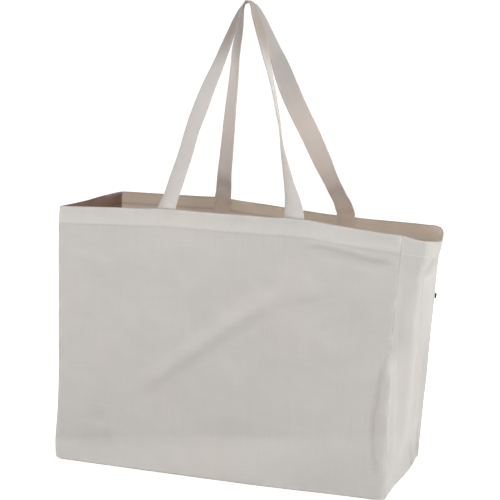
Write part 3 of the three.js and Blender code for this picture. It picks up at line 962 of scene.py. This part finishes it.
def handle(name, path):
    run, height, rows, point = strap_surface(name, path)
    apex = int(np.argmax(height))
    left_cut = int(np.argmin(np.abs(height[:apex] - STRAP_CUT)))
    right_cut = apex + int(np.argmin(np.abs(height[apex:] - STRAP_CUT)))
    for key, first, last in (("left_root", 0, left_cut), ("loop", left_cut, right_cut),
                             ("right_root", right_cut, len(run) - 1)):
        part = slice(first, last + 1)
        strap_piece(f"{name}_handle_{key}_strap", rows[part], run[part], height[part])
        stitches(f"{name}_handle_{key}_edge_stitching",
                 edge_stitches(run, point, first, last), radius=0.26)


handle("front", FRONT_PATH)
handle("rear", REAR_PATH)

# hem stitching: name, sheet, and where along the face it starts and ends
for stem, piece, start, end in (
        ("front", "front_panel", 3.0, 497.0),
        ("rear", "rear_panel", 3.0, 497.0),
        ("right_gusset_front", "right_gusset_front", 3.0, CREASE_START - 1.0),
        ("right_gusset_crease", "right_gusset_crease", CREASE_START + 0.3, CREASE_END - 0.3),
        ("right_gusset_rear", "right_gusset_rear", CREASE_END + 1.0, 197.0),
        ("left_gusset_front", "left_gusset_front", 3.0, HALF_DEPTH - 1.0),
        ("left_gusset_rear", "left_gusset_rear", HALF_DEPTH + 1.0, 197.0)):
    ends = (start, HEM_STITCH_DROP), (end, HEM_STITCH_DROP)
    stitches(f"{stem}_hem_stitches",
             stitch_row(piece, *ends) + stitch_row(piece, *ends, inner=True))

# stitched boxes over the strap ends; inside the bag they lie on the strap
for name, handle_x in (("front", FRONT_HANDLE_X), ("rear", REAR_HANDLE_X)):
    for side, middle_x in zip(("left", "right"), handle_x):
        stem = f"{name}_handle_{side}_box_stitches"
        stitches(f"{stem}_outside", box_row(name, middle_x, inner=False))
        over = STRAP_GAP + STRAP_T
        stitches(f"{stem}_inside", [(first + up * over, last + up * over, up)
                                    for first, last, up in box_row(name, middle_x, inner=True)])


# ------------------------------------------------------------------ overlocked seam edges inside
def seam_edge(name, root, width_dir, up, seed, width=8.6, thick=1.5):
    """A wavy double edge of cloth along root, with overlock thread over its free edge.
    width_dir points away from the seam, up towards the middle of the bag."""
    count = len(root)
    run = np.concatenate([[0], np.cumsum(np.linalg.norm(np.diff(root, axis=0), axis=1))])
    wave = 0.9 * noise2(run / 21 + seed, run * 0 + 1) + 0.35 * noise2(run / 8 + seed, run * 0 + 4)
    uneven = 0.5 * noise2(run / 33 + seed, run * 0 + 7)
    across = np.array([0, 0.25, 0.5, 0.75, 0.93, 1.0])
    section = ([(c, 1.0) for c in across] + [(1.06, 0.5)] + [(c, 0.0) for c in across[::-1]])
    points = []
    for i in range(count):
        for c, layer in section:
            rise = STRAP_GAP + layer * thick * (0.9 if c < 0.9 else 0.75) + (0.55 + wave[i]) * c * c
            points.append(root[i] + width_dir[i] * (c * (width + uneven[i])) + up[i] * rise)
    size = len(section)
    faces = tube_faces(count, size)
    for first in (0, (count - 1) * size):
        faces += [(first + j, first + j + 1, first + size - 2 - j, first + size - 1 - j)
                  for j in range(5)]
        faces.append((first + 5, first + 6, first + 7))
    cloth = [(c * width * MM, run[i] * MM, 1.0) for i in range(count) for c, _ in section]
    make_mesh(name, points, faces, cloth, [(0.0, 0.0, 0.0)] * len(cloth))

    # slanting loops over the edge, joined along their inner ends
    places = []
    loops = int(run[-1] / 2.1)
    for k in range(loops):
        at = (k + 0.5) * run[-1] / loops
        i = int(np.clip(np.searchsorted(run, at) - 1, 0, count - 2))
        step = run[i + 1] - run[i]
        t = (at - run[i]) / step
        middle, across_here, up_here, wave_here, uneven_here = (
            values[i] * (1 - t) + values[i + 1] * t
            for values in (root, width_dir, up, wave, uneven))
        tangent = (root[i + 1] - root[i]) / step
        inner = (middle + across_here * 3.6 - tangent * 0.9
                 + up_here * (0.25 + thick * 0.92 + (0.55 + wave_here) * 0.175))
        outer = (middle + across_here * (width + uneven_here) * 0.99 + tangent * 0.3
                 + up_here * (0.25 + thick * 0.78 + (0.55 + wave_here) * 1.0))
        places.append((inner + up_here * 0.14, outer + up_here * 0.14, up_here))
        if k < loops - 1:
            begin = inner + up_here * 0.2
            places.append((begin + tangent * 0.15, begin + tangent * (run[-1] / loops - 0.2),
                           up_here))
    stitches(name + "_overlock", places, radius=0.3)


def panel_seam_edge(name, piece, stations, seed, clear, gap, rise):
    """A seam edge on a panel's inner face; stations pair (along, drop) at the seam and beside it."""
    roots, width_dirs, ups = [], [], []
    for at_seam, beside in stations:
        root, _ = on_sheet(piece, *at_seam, inner=True)
        free, up = on_sheet(piece, *beside, inner=True)
        root = root + up * clear
        width_dirs.append(unit(free - root))
        roots.append(root + up * gap + np.array([0, 0, rise]))
        ups.append(up)
    seam_edge(name, np.array(roots), np.array(width_dirs), np.array(ups), seed)


for name, seeds in (("front", (3.0, 8.0, 39.0)), ("rear", (18.0, 23.0, 41.0))):
    piece = f"{name}_panel"
    drops = [HEIGHT * (1 - z / HEIGHT) for z in np.arange(13.5, 344.5, 4.0)]
    for side, at, step, seed in (("left", 1.6, 9, seeds[0]), ("right", WIDTH - 1.6, -9, seeds[1])):
        panel_seam_edge(f"{name}_{side}_seam_allowance", piece,
                        [((at, drop), (at + step, drop)) for drop in drops],
                        seed, clear=0.0, gap=0.2, rise=0.0)
    panel_seam_edge(f"{name}_bottom_seam_allowance", piece,
                    [((at, HEIGHT - 2.6), (at, HEIGHT - 11.5)) for at in np.arange(4.0, 496.1, 4.0)],
                    seeds[2], clear=0.1, gap=0.4, rise=0.8)


def seam_tag(rows=9, columns=7, half_t=0.42):
    """The small cloth tag caught in the right rear seam, with a soft wave."""
    low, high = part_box("side_seam_tag")
    middle_z = (low[2] + high[2]) / 2 / MM
    seam_x, seam_y = float(rear_right_x(middle_z)), float(rear_right_y(middle_z))
    grid = []
    for i in range(rows):                 # down the tag
        for j in range(columns):          # out of the seam
            t = j / (columns - 1)
            wave = 0.5 * math.sin(t * 2.2 + i * 0.25) + 0.25 * math.sin(i * 0.8) * t
            grid.append((seam_x - 1.4 + 3.6 * t, seam_y - 0.6 + wave,
                         middle_z + 3.6 - 7.2 * i / (rows - 1)))
    points = [(x, y + offset, z) for offset in (half_t, -half_t) for x, y, z in grid]
    back = rows * columns
    faces = []
    for i in range(rows - 1):
        for j in range(columns - 1):
            k = i * columns + j
            faces.append((k, k + 1, k + columns + 1, k + columns))
            faces.append((back + k, back + k + columns, back + k + columns + 1, back + k + 1))
    last = (rows - 1) * columns
    outline = (list(range(columns)) + [i * columns + columns - 1 for i in range(1, rows)]
               + [last + j for j in range(columns - 2, -1, -1)]
               + [i * columns for i in range(rows - 2, 0, -1)])
    for here, after in zip(outline, outline[1:] + outline[:1]):
        faces.append((here, here + back, after + back, after))
    make_mesh("seam_tag_cloth", points, faces, [(x * MM, z * MM, 0) for x, _, z in points],
              [(0.0, 0.0, 0.0)] * len(points))


seam_tag()


# ------------------------------------------------------------------ materials
class Nodes:
    """A material with short calls for writing its node tree."""

    def __init__(self, name):
        self.material = bpy.data.materials.new(name)
        self.material.use_nodes = True
        self.tree = self.material.node_tree
        self.tree.nodes.clear()
        output = self.node("OutputMaterial")
        self.shader = self.node("BsdfPrincipled")
        self.put(output.inputs[0], self.shader.outputs[0])

    def node(self, kind, **settings):
        made = self.tree.nodes.new("ShaderNode" + kind)
        for key, value in settings.items():
            setattr(made, key, value)
        return made

    def put(self, socket, value):
        if isinstance(value, (int, float, tuple)):
            socket.default_value = value
        else:
            self.tree.links.new(value, socket)

    def surface(self, **values):
        """Sets shader inputs; an underscore stands for a space."""
        for key, value in values.items():
            self.put(self.shader.inputs[key.replace("_", " ")], value)

    def math(self, operation, *values, clamp=False):
        made = self.node("Math", operation=operation, use_clamp=clamp)
        for i, value in enumerate((values + (0.0, 0.0))[:3]):
            self.put(made.inputs[i], value)
        return made.outputs[0]

    def times(self, first, second):
        return self.math("MULTIPLY", first, second)

    def swing(self, value, amount):
        """A 0 to 1 value, centred on 0 and scaled."""
        return self.times(self.math("SUBTRACT", value, 0.5), amount)

    def split(self, vector):
        made = self.node("SeparateXYZ")
        self.put(made.inputs[0], vector)
        return made.outputs

    def attribute(self, name):
        return self.split(self.node("Attribute", attribute_name=name).outputs["Vector"])

    def vector(self, x, y, z=0.0):
        made = self.node("CombineXYZ")
        for i, value in enumerate((x, y, z)):
            self.put(made.inputs[i], value)
        return made.outputs[0]

    def noise(self, vector, scale, detail=2.0, rough=0.5, distortion=0.0):
        made = self.node("TexNoise")
        for key, value in (("Vector", vector), ("Scale", scale), ("Detail", detail),
                           ("Roughness", rough), ("Distortion", distortion)):
            self.put(made.inputs[key], value)
        return made.outputs[0]

    def spread(self, value, low, high, to_low=0.0, to_high=1.0):
        made = self.node("MapRange", interpolation_type="SMOOTHSTEP")
        for i, item in enumerate((value, low, high, to_low, to_high)):
            self.put(made.inputs[i], item)
        return made.outputs[0]

    def mix(self, share, first, second, blend="MIX"):
        made = self.node("Mix", data_type="RGBA", blend_type=blend)
        for i, value in ((0, share), (6, first), (7, second)):
            self.put(made.inputs[i], value)
        return made.outputs[2]

    def shaded(self, colour, shade):
        return self.mix(1.0, colour, self.vector(shade, shade, shade), "MULTIPLY")

    def bump(self, height, distance, strength, normal=None):
        made = self.node("Bump")
        self.put(made.inputs["Strength"], strength)
        self.put(made.inputs["Distance"], distance)
        self.put(made.inputs["Height"], height)
        if normal is not None:
            self.put(made.inputs["Normal"], normal)
        return made.outputs[0]

    def weave(self, weft, warp, pitch, row_pitch):
        """Plain weave: threads that go over and under each other, as a height from 0 to 1."""
        sin_weft = self.math("SINE", self.times(weft, math.pi / pitch))
        sin_warp = self.math("SINE", self.times(warp, math.pi / row_pitch))
        abs_weft, abs_warp = self.math("ABSOLUTE", sin_weft), self.math("ABSOLUTE", sin_warp)
        over = self.math("GREATER_THAN", self.times(sin_weft, sin_warp), 0.0)

        def thread(across, lengthwise):
            return self.times(self.math("POWER", across, 0.7),
                              self.math("MULTIPLY_ADD", lengthwise, 0.5, 0.5))
        return self.math("ADD", self.times(thread(abs_weft, abs_warp), over),
                         self.times(thread(abs_warp, abs_weft),
                                    self.math("SUBTRACT", 1.0, over)))


RUBBED, SOILED, SEED = (0.80, 0.78, 0.74, 1), (0.36, 0.31, 0.26, 1), (0.20, 0.13, 0.075, 1)


def seed_specks(g, colour, weft, warp, inside):
    """A few seed specks spun into the thread."""
    cells = g.node("TexVoronoi")
    cells.inputs["Scale"].default_value = 95.0
    g.put(cells.inputs["Vector"], g.vector(g.times(weft, 0.55), warp, inside))
    dot = g.spread(cells.outputs["Distance"], low=0.030, high=0.055, to_low=1.0, to_high=0.0)
    few = g.math("GREATER_THAN", g.split(cells.outputs["Color"])[0], 0.86)
    return g.mix(g.times(g.times(dot, few), 0.45), colour, SEED)


def cotton(name, tint, inside_shade_tint, pitch=0.00062, hem=1.0, mottle=1.0, flecks=True,
           sheen=0.22, glow=None, grip_shade=None):
    """Cotton cloth in plain weave. pitch is its thread spacing in m, hem the hem's brightness,
    glow the light let through outside and inside, painted as a self-glow, grip_shade a handle's painted
    shade colour where it is held."""
    g = Nodes(name)
    weft, warp, inside = g.attribute("cloth")
    # rubbed edge; the hem band, or a strap's painted grip and inside shade; painted light and shade
    edge, band, painted_shading = g.attribute("wear_and_shade")
    place = g.vector(weft, warp, g.times(inside, 0.37))
    # threads wander a little, so the grid is never perfect
    drift = g.swing(g.noise(place, scale=24), 0.0016)
    loose_weft, loose_warp = g.math("ADD", weft, drift), g.math("SUBTRACT", warp, drift)
    weave = g.weave(loose_weft, loose_warp, pitch, pitch * 1.08)
    thick_weft = g.noise(g.vector(g.times(loose_weft, 9.0), g.times(loose_warp, 760.0)),
                         scale=1.0, rough=0.6)
    thick_warp = g.noise(g.vector(g.times(loose_weft, 760.0), g.times(loose_warp, 7.0), 4.0),
                         scale=1.0, rough=0.6)
    cloud = g.noise(place, scale=9.0, detail=3, rough=0.55, distortion=0.3)
    small_cloud = g.noise(place, scale=34.0, detail=3, rough=0.6)
    grain = g.noise(place, scale=420.0, rough=0.6)
    # broad patches lean a little cooler or warmer
    cool, warm = (tuple(part * share for part, share in zip(tint[:3], shares)) + (1,)
                  for shares in ((0.988, 1.0, 1.012), (1.010, 0.997, 0.984)))
    colour = g.mix(g.spread(g.noise(place, scale=6.5), low=0.38, high=0.62), cool, warm)
    if grip_shade:                          # painted shade: a greyer grip, and a browner strap inside the bag
        colour = g.mix(g.math("MULTIPLY", band, 1.0, clamp=True), colour, grip_shade)
        colour = g.mix(g.math("MULTIPLY", band, -1.0, clamp=True), colour, inside_shade_tint)
    else:
        # painted shade: the inside takes its darker colour
        colour = g.mix(inside, colour, inside_shade_tint)
    shade = 1.0
    for pattern, amount in ((cloud, 0.10 * mottle), (small_cloud, 0.07 * mottle),
                            (thick_weft, 0.10), (thick_warp, 0.08), (grain, 0.06)):
        shade = g.math("ADD", shade, g.swing(pattern, amount))
    shade = g.times(shade, g.math("MULTIPLY_ADD", weave, 0.16, 0.89))
    if not grip_shade:                      # doubled cloth of the hem looks fuller and lighter
        shade = g.times(shade, g.math("MULTIPLY_ADD", band, hem - 1.0, 1.0))
    # painted light and shade
    shade = g.times(shade, g.math("ADD", painted_shading, 1.0))
    colour = g.shaded(colour, shade)
    # folded edges are rubbed paler in places and a little grubby in others
    rub = g.times(edge, g.spread(small_cloud, low=0.42, high=0.68))
    soil = g.times(edge, g.spread(cloud, low=0.50, high=0.72))
    colour = g.mix(g.times(rub, 0.30), colour, RUBBED)
    colour = g.mix(g.times(soil, 0.22), colour, SOILED)
    if flecks:
        colour = seed_specks(g, colour, weft, warp, inside)
    if glow:
        g.surface(Emission_Color=colour,
                  Emission_Strength=g.math("MULTIPLY_ADD", inside, glow[1] - glow[0], glow[0]))
    rough = g.math("ADD", g.spread(grain, low=0.2, high=0.8, to_low=0.84, to_high=0.96),
                   g.times(g.math("SUBTRACT", 0.5, weave), 0.08))
    rough = g.math("SUBTRACT", rough, g.times(edge, 0.06), clamp=True)
    normal = g.bump(small_cloud, distance=0.0011, strength=0.5)
    normal = g.bump(g.math("ADD", thick_weft, thick_warp), 0.00022, 0.8, normal)
    normal = g.bump(weave, 0.00026, 0.85, normal)
    normal = g.bump(g.noise(place, scale=2600.0, rough=0.6), 0.00006, 0.7, normal)
    g.surface(Base_Color=colour, Roughness=rough, Specular_IOR_Level=0.22, Sheen_Weight=sheen,
              Sheen_Roughness=0.55, Sheen_Tint=(1.0, 0.97, 0.92, 1), Normal=normal)
    return g.material


def thread_material(name, tint):
    """Twisted, slightly glossy thread."""
    g = Nodes(name)
    place = g.node("TexCoord").outputs["Object"]
    fine = g.noise(place, scale=900.0, rough=0.6)
    broad = g.noise(place, scale=30.0)
    wave = g.node("TexWave", bands_direction="DIAGONAL")
    for key, value in (("Scale", 1500.0), ("Distortion", 2.0), ("Vector", place)):
        g.put(wave.inputs[key], value)
    twist = wave.outputs[1]
    shade = g.math("ADD", g.math("MULTIPLY_ADD", twist, 0.14, 0.86), g.swing(broad, 0.12))
    g.surface(Base_Color=g.shaded(tint, shade), Sheen_Weight=0.3,
              Roughness=g.spread(fine, low=0.2, high=0.8, to_low=0.52, to_high=0.74),
              Normal=g.bump(twist, distance=0.00012, strength=0.8))
    return g.material


# painted shade: the inside is a darker, warmer brown; painted light: the inside glows faintly
CANVAS = cotton("canvas", (0.548, 0.527, 0.500, 1), (0.560, 0.470, 0.385, 1),
                hem=1.09, glow=(0.0, 0.17))
# painted shadow: the left gusset's inside is a much darker brown
CANVAS_LEFT_SHADED_INSIDE = cotton("canvas_left_gusset_shaded_inside", (0.535, 0.515, 0.488, 1), (0.270, 0.160, 0.125, 1),
                     hem=1.05)
# painted light: both handles glow faintly, the rear one more and in a warmer colour; painted shade: the
# grip colours, and the rear straps' brown inside the bag
STRAP_CLOTH = {
    "front": cotton("strap_cloth", (0.650, 0.608, 0.572, 1), (0.650, 0.600, 0.560, 1),
                    pitch=0.00058, mottle=0.8, sheen=0.1, glow=(0.06, 0.06),
                    grip_shade=(0.385, 0.325, 0.290, 1)),
    "rear": cotton("strap_cloth_rear_lit", (0.615, 0.548, 0.508, 1), (0.560, 0.455, 0.375, 1),
                   pitch=0.00058, mottle=0.9, sheen=0.1, glow=(0.20, 0.20),
                   grip_shade=(0.365, 0.338, 0.318, 1))}
# painted shade: the seam edges, inside the bag, take the inside's darker brown
BINDING = cotton("seam_edge_cloth", (0.52, 0.44, 0.37, 1), (0.52, 0.44, 0.37, 1),
                 mottle=1.2, flecks=False)
TAG_CLOTH = cotton("tag_cloth", (0.060, 0.058, 0.062, 1), (0.060, 0.058, 0.062, 1),
                   pitch=0.00035, flecks=False, sheen=0.1)
THREAD = thread_material("thread", (0.70, 0.665, 0.615, 1))
OVERLOCK = thread_material("overlock_thread", (0.66, 0.60, 0.53, 1))


# ------------------------------------------------------------------ finishing each piece, and what some move with
def finish(name, material):
    """Gives a built piece its material, outward normals and sharp edges."""
    obj = BUILT[name]
    obj.data.materials.append(material)
    mesh = bmesh.new()
    mesh.from_mesh(obj.data)
    bmesh.ops.recalc_face_normals(mesh, faces=mesh.faces[:])
    mesh.to_mesh(obj.data)
    mesh.free()
    obj.data.set_sharp_from_angle(angle=math.radians(52))
    return obj


def finish_riding(name, material, slot, body, *replaced):
    obj = finish(name, material)
    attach(obj, body)
    if replaced:
        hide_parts(*replaced)
    return obj


BEND_Z, BEND_LENGTH = 185.0, 22.0     # where a gusset would start to bend beside its seam, and how far; nothing bends the pieces


def bend(obj):
    """Bakes the piece's placement into its mesh; it blends nothing."""
    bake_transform(obj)


finish_riding("front_panel_cloth", CANVAS, "canvas", "front_panel", "front_panel")
finish_riding("rear_panel_cloth", CANVAS, "canvas", "rear_panel", "rear_panel")
base = finish_riding("base_cloth", CANVAS, "canvas", "rear_panel", "base_panel")
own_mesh(base)

for side, material, rear_y, low_z, high_z in (("right", CANVAS, rear_right_y, 20.0, 330.0),
                                              ("left", CANVAS_LEFT_SHADED_INSIDE, rear_left_y, 0.0, 372.0)):
    rear_lean = float((rear_y(high_z) - rear_y(low_z)) / (high_z - low_z))
    for end, seam_y, lean in (("front", FRONT_SEAM_Y + 1.0, 0.0),
                              ("rear", float(rear_y(BEND_Z)) - 1.0, rear_lean)):
        piece = f"{side}_gusset_{end}"
        for name, look, slot, replaced in (
                (f"{piece}_cloth", material, "canvas", f"{piece}_half"),
                (f"{piece}_hem_stitches", THREAD, "thread", f"{piece}_hem_stitching")):
            obj = finish(name, look)
            bend(obj)
            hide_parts(replaced)

for name, material, slot in (("right_gusset_crease_cloth", CANVAS, "canvas"),
                             ("right_gusset_crease_hem_stitches", THREAD, "thread")):
    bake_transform(finish(name, material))


for name, outward in (("front", -1), ("rear", 1)):
    panel, roots, stem = f"{name}_panel", f"{name}_handle_roots", f"{name}_handle"
    finish_riding(f"{name}_hem_stitches", THREAD, "thread", panel, f"{name}_hem_stitching")
    for side in ("left", "right", "bottom"):
        allowance = f"{name}_{side}_seam_allowance"
        finish_riding(allowance, BINDING, "overlock", panel, f"{name}_{side}_seam_edge")
        finish_riding(f"{allowance}_overlock", OVERLOCK, "overlock", panel)
    for side in ("left", "right"):
        for where in ("outside", "inside"):
            finish_riding(f"{stem}_{side}_box_stitches_{where}", THREAD, "thread", panel,
                          f"{stem}_{side}_box_stitch_{where}")
    for key in ("left_root", "loop", "right_root"):
        for part, material, slot in (("strap", STRAP_CLOTH[name], "webbing"),
                                     ("edge_stitching", THREAD, "thread")):
            obj = finish(f"{stem}_{key}_{part}", material)
            if key == "loop":
                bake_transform(obj)
            else:
                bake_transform(obj)
    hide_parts(f"{stem}_loop")
    for side in ("left", "right"):
        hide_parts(f"{stem}_{side}_root", f"{stem}_{side}_sewn_end")
finish_riding("seam_tag_cloth", TAG_CLOTH, "tag_cloth", "rear_panel", "side_seam_tag")


# ------------------------------------------------------------------ floor, light and camera
def pale_floor():
    """A floor that glows brighter away from the bag."""
    z = -0.0006
    mesh = bpy.data.meshes.new("floor")
    mesh.from_pydata([(-30, -12, z), (30, -12, z), (30, 60, z), (-30, 60, z)], [], [(0, 1, 2, 3)])
    floor = link(bpy.data.objects.new("floor", mesh))
    g = Nodes("pale_floor")
    distance = g.node("VectorMath", operation="LENGTH")
    g.put(distance.inputs[0], g.node("NewGeometry").outputs["Position"])
    g.surface(Base_Color=(0.93, 0.93, 0.93, 1), Roughness=0.9, Specular_IOR_Level=0.1,
              Emission_Color=(1.0, 1.0, 1.0, 1),
              Emission_Strength=g.spread(distance.outputs["Value"], low=0.25, high=0.95,
                                         to_low=0.60, to_high=0.88))
    mesh.materials.append(g.material)


def studio_world(light=0.34, seen=1.05):
    """White surroundings: one strength as light, another as the camera sees them."""
    world = bpy.data.worlds.new("studio")
    bpy.context.scene.world = world
    world.use_nodes = True
    nodes, links = world.node_tree.nodes, world.node_tree.links
    nodes.clear()
    output, background, path, strength = (
        nodes.new("ShaderNode" + kind)
        for kind in ("OutputWorld", "Background", "LightPath", "MapRange"))
    links.new(path.outputs["Is Camera Ray"], strength.inputs[0])
    strength.inputs[3].default_value, strength.inputs[4].default_value = light, seen
    background.inputs[0].default_value = (1, 1, 1, 1)
    links.new(strength.outputs[0], background.inputs[1])
    links.new(background.outputs[0], output.inputs[0])


def area_light(name, place, target, size, watts, colour):
    light = bpy.data.lights.new(name, "AREA")
    light.shape, light.size, light.energy, light.color = "SQUARE", size, watts, colour
    obj = link(bpy.data.objects.new(name, light))
    obj.location = place
    obj.rotation_mode = "QUATERNION"
    obj.rotation_quaternion = (Vector(target) - Vector(place)).to_track_quat("-Z", "Y")


def add_camera(azimuth, elevation, roll, distance, lens, target, shift_right, shift_up):
    """A camera that looks at target from in front and to the right; angles in degrees."""
    azimuth, elevation, roll = (math.radians(angle) for angle in (azimuth, elevation, roll))
    back = Vector((math.sin(azimuth) * math.cos(elevation),
                   -math.cos(azimuth) * math.cos(elevation), math.sin(elevation)))
    level_right = (-back).cross(Vector((0, 0, 1))).normalized()
    level_up = level_right.cross(-back)
    right = math.cos(roll) * level_right + math.sin(roll) * level_up
    up = -math.sin(roll) * level_right + math.cos(roll) * level_up
    data = bpy.data.cameras.new("camera")
    data.sensor_width, data.lens = 36.0, lens
    camera = link(bpy.data.objects.new("camera", data))
    camera.matrix_world = Matrix((
        (right.x, up.x, back.x, 0), (right.y, up.y, back.y, 0),
        (right.z, up.z, back.z, 0), (0, 0, 0, 1)))
    camera.location = Vector(target) + back * distance + right * shift_right + up * shift_up
    data.clip_start, data.clip_end = 0.05, 200
    bpy.context.scene.camera = camera


pale_floor()
studio_world()
# name, place, target, size, watts, colour
for light_row in (
        ("overhead", (0.6, 0.4, 2.7), (0, 0, 0.2), 2.4, 20, (1.0, 0.995, 0.985)),
        ("key_right", (3.0, 1.7, 0.8), (0.1, 0, 0.22), 0.9, 56, (1.0, 0.998, 0.998)),
        ("front", (0.3, -3.5, 1.7), (0, 0, 0.3), 1.6, 39.5, (1.0, 0.995, 0.992)),
        ("back", (-1.4, 3.6, 1.5), (0, 0, 0.3), 2.0, 16, (1.0, 0.995, 0.99))):
    area_light(*light_row)
bpy.context.scene.view_settings.view_transform = "Standard"
add_camera(azimuth=20.8, elevation=5.9, roll=2.8, distance=2.950, lens=149.18,
           target=(0, 0, 0.250), shift_right=0.003, shift_up=0.0615)
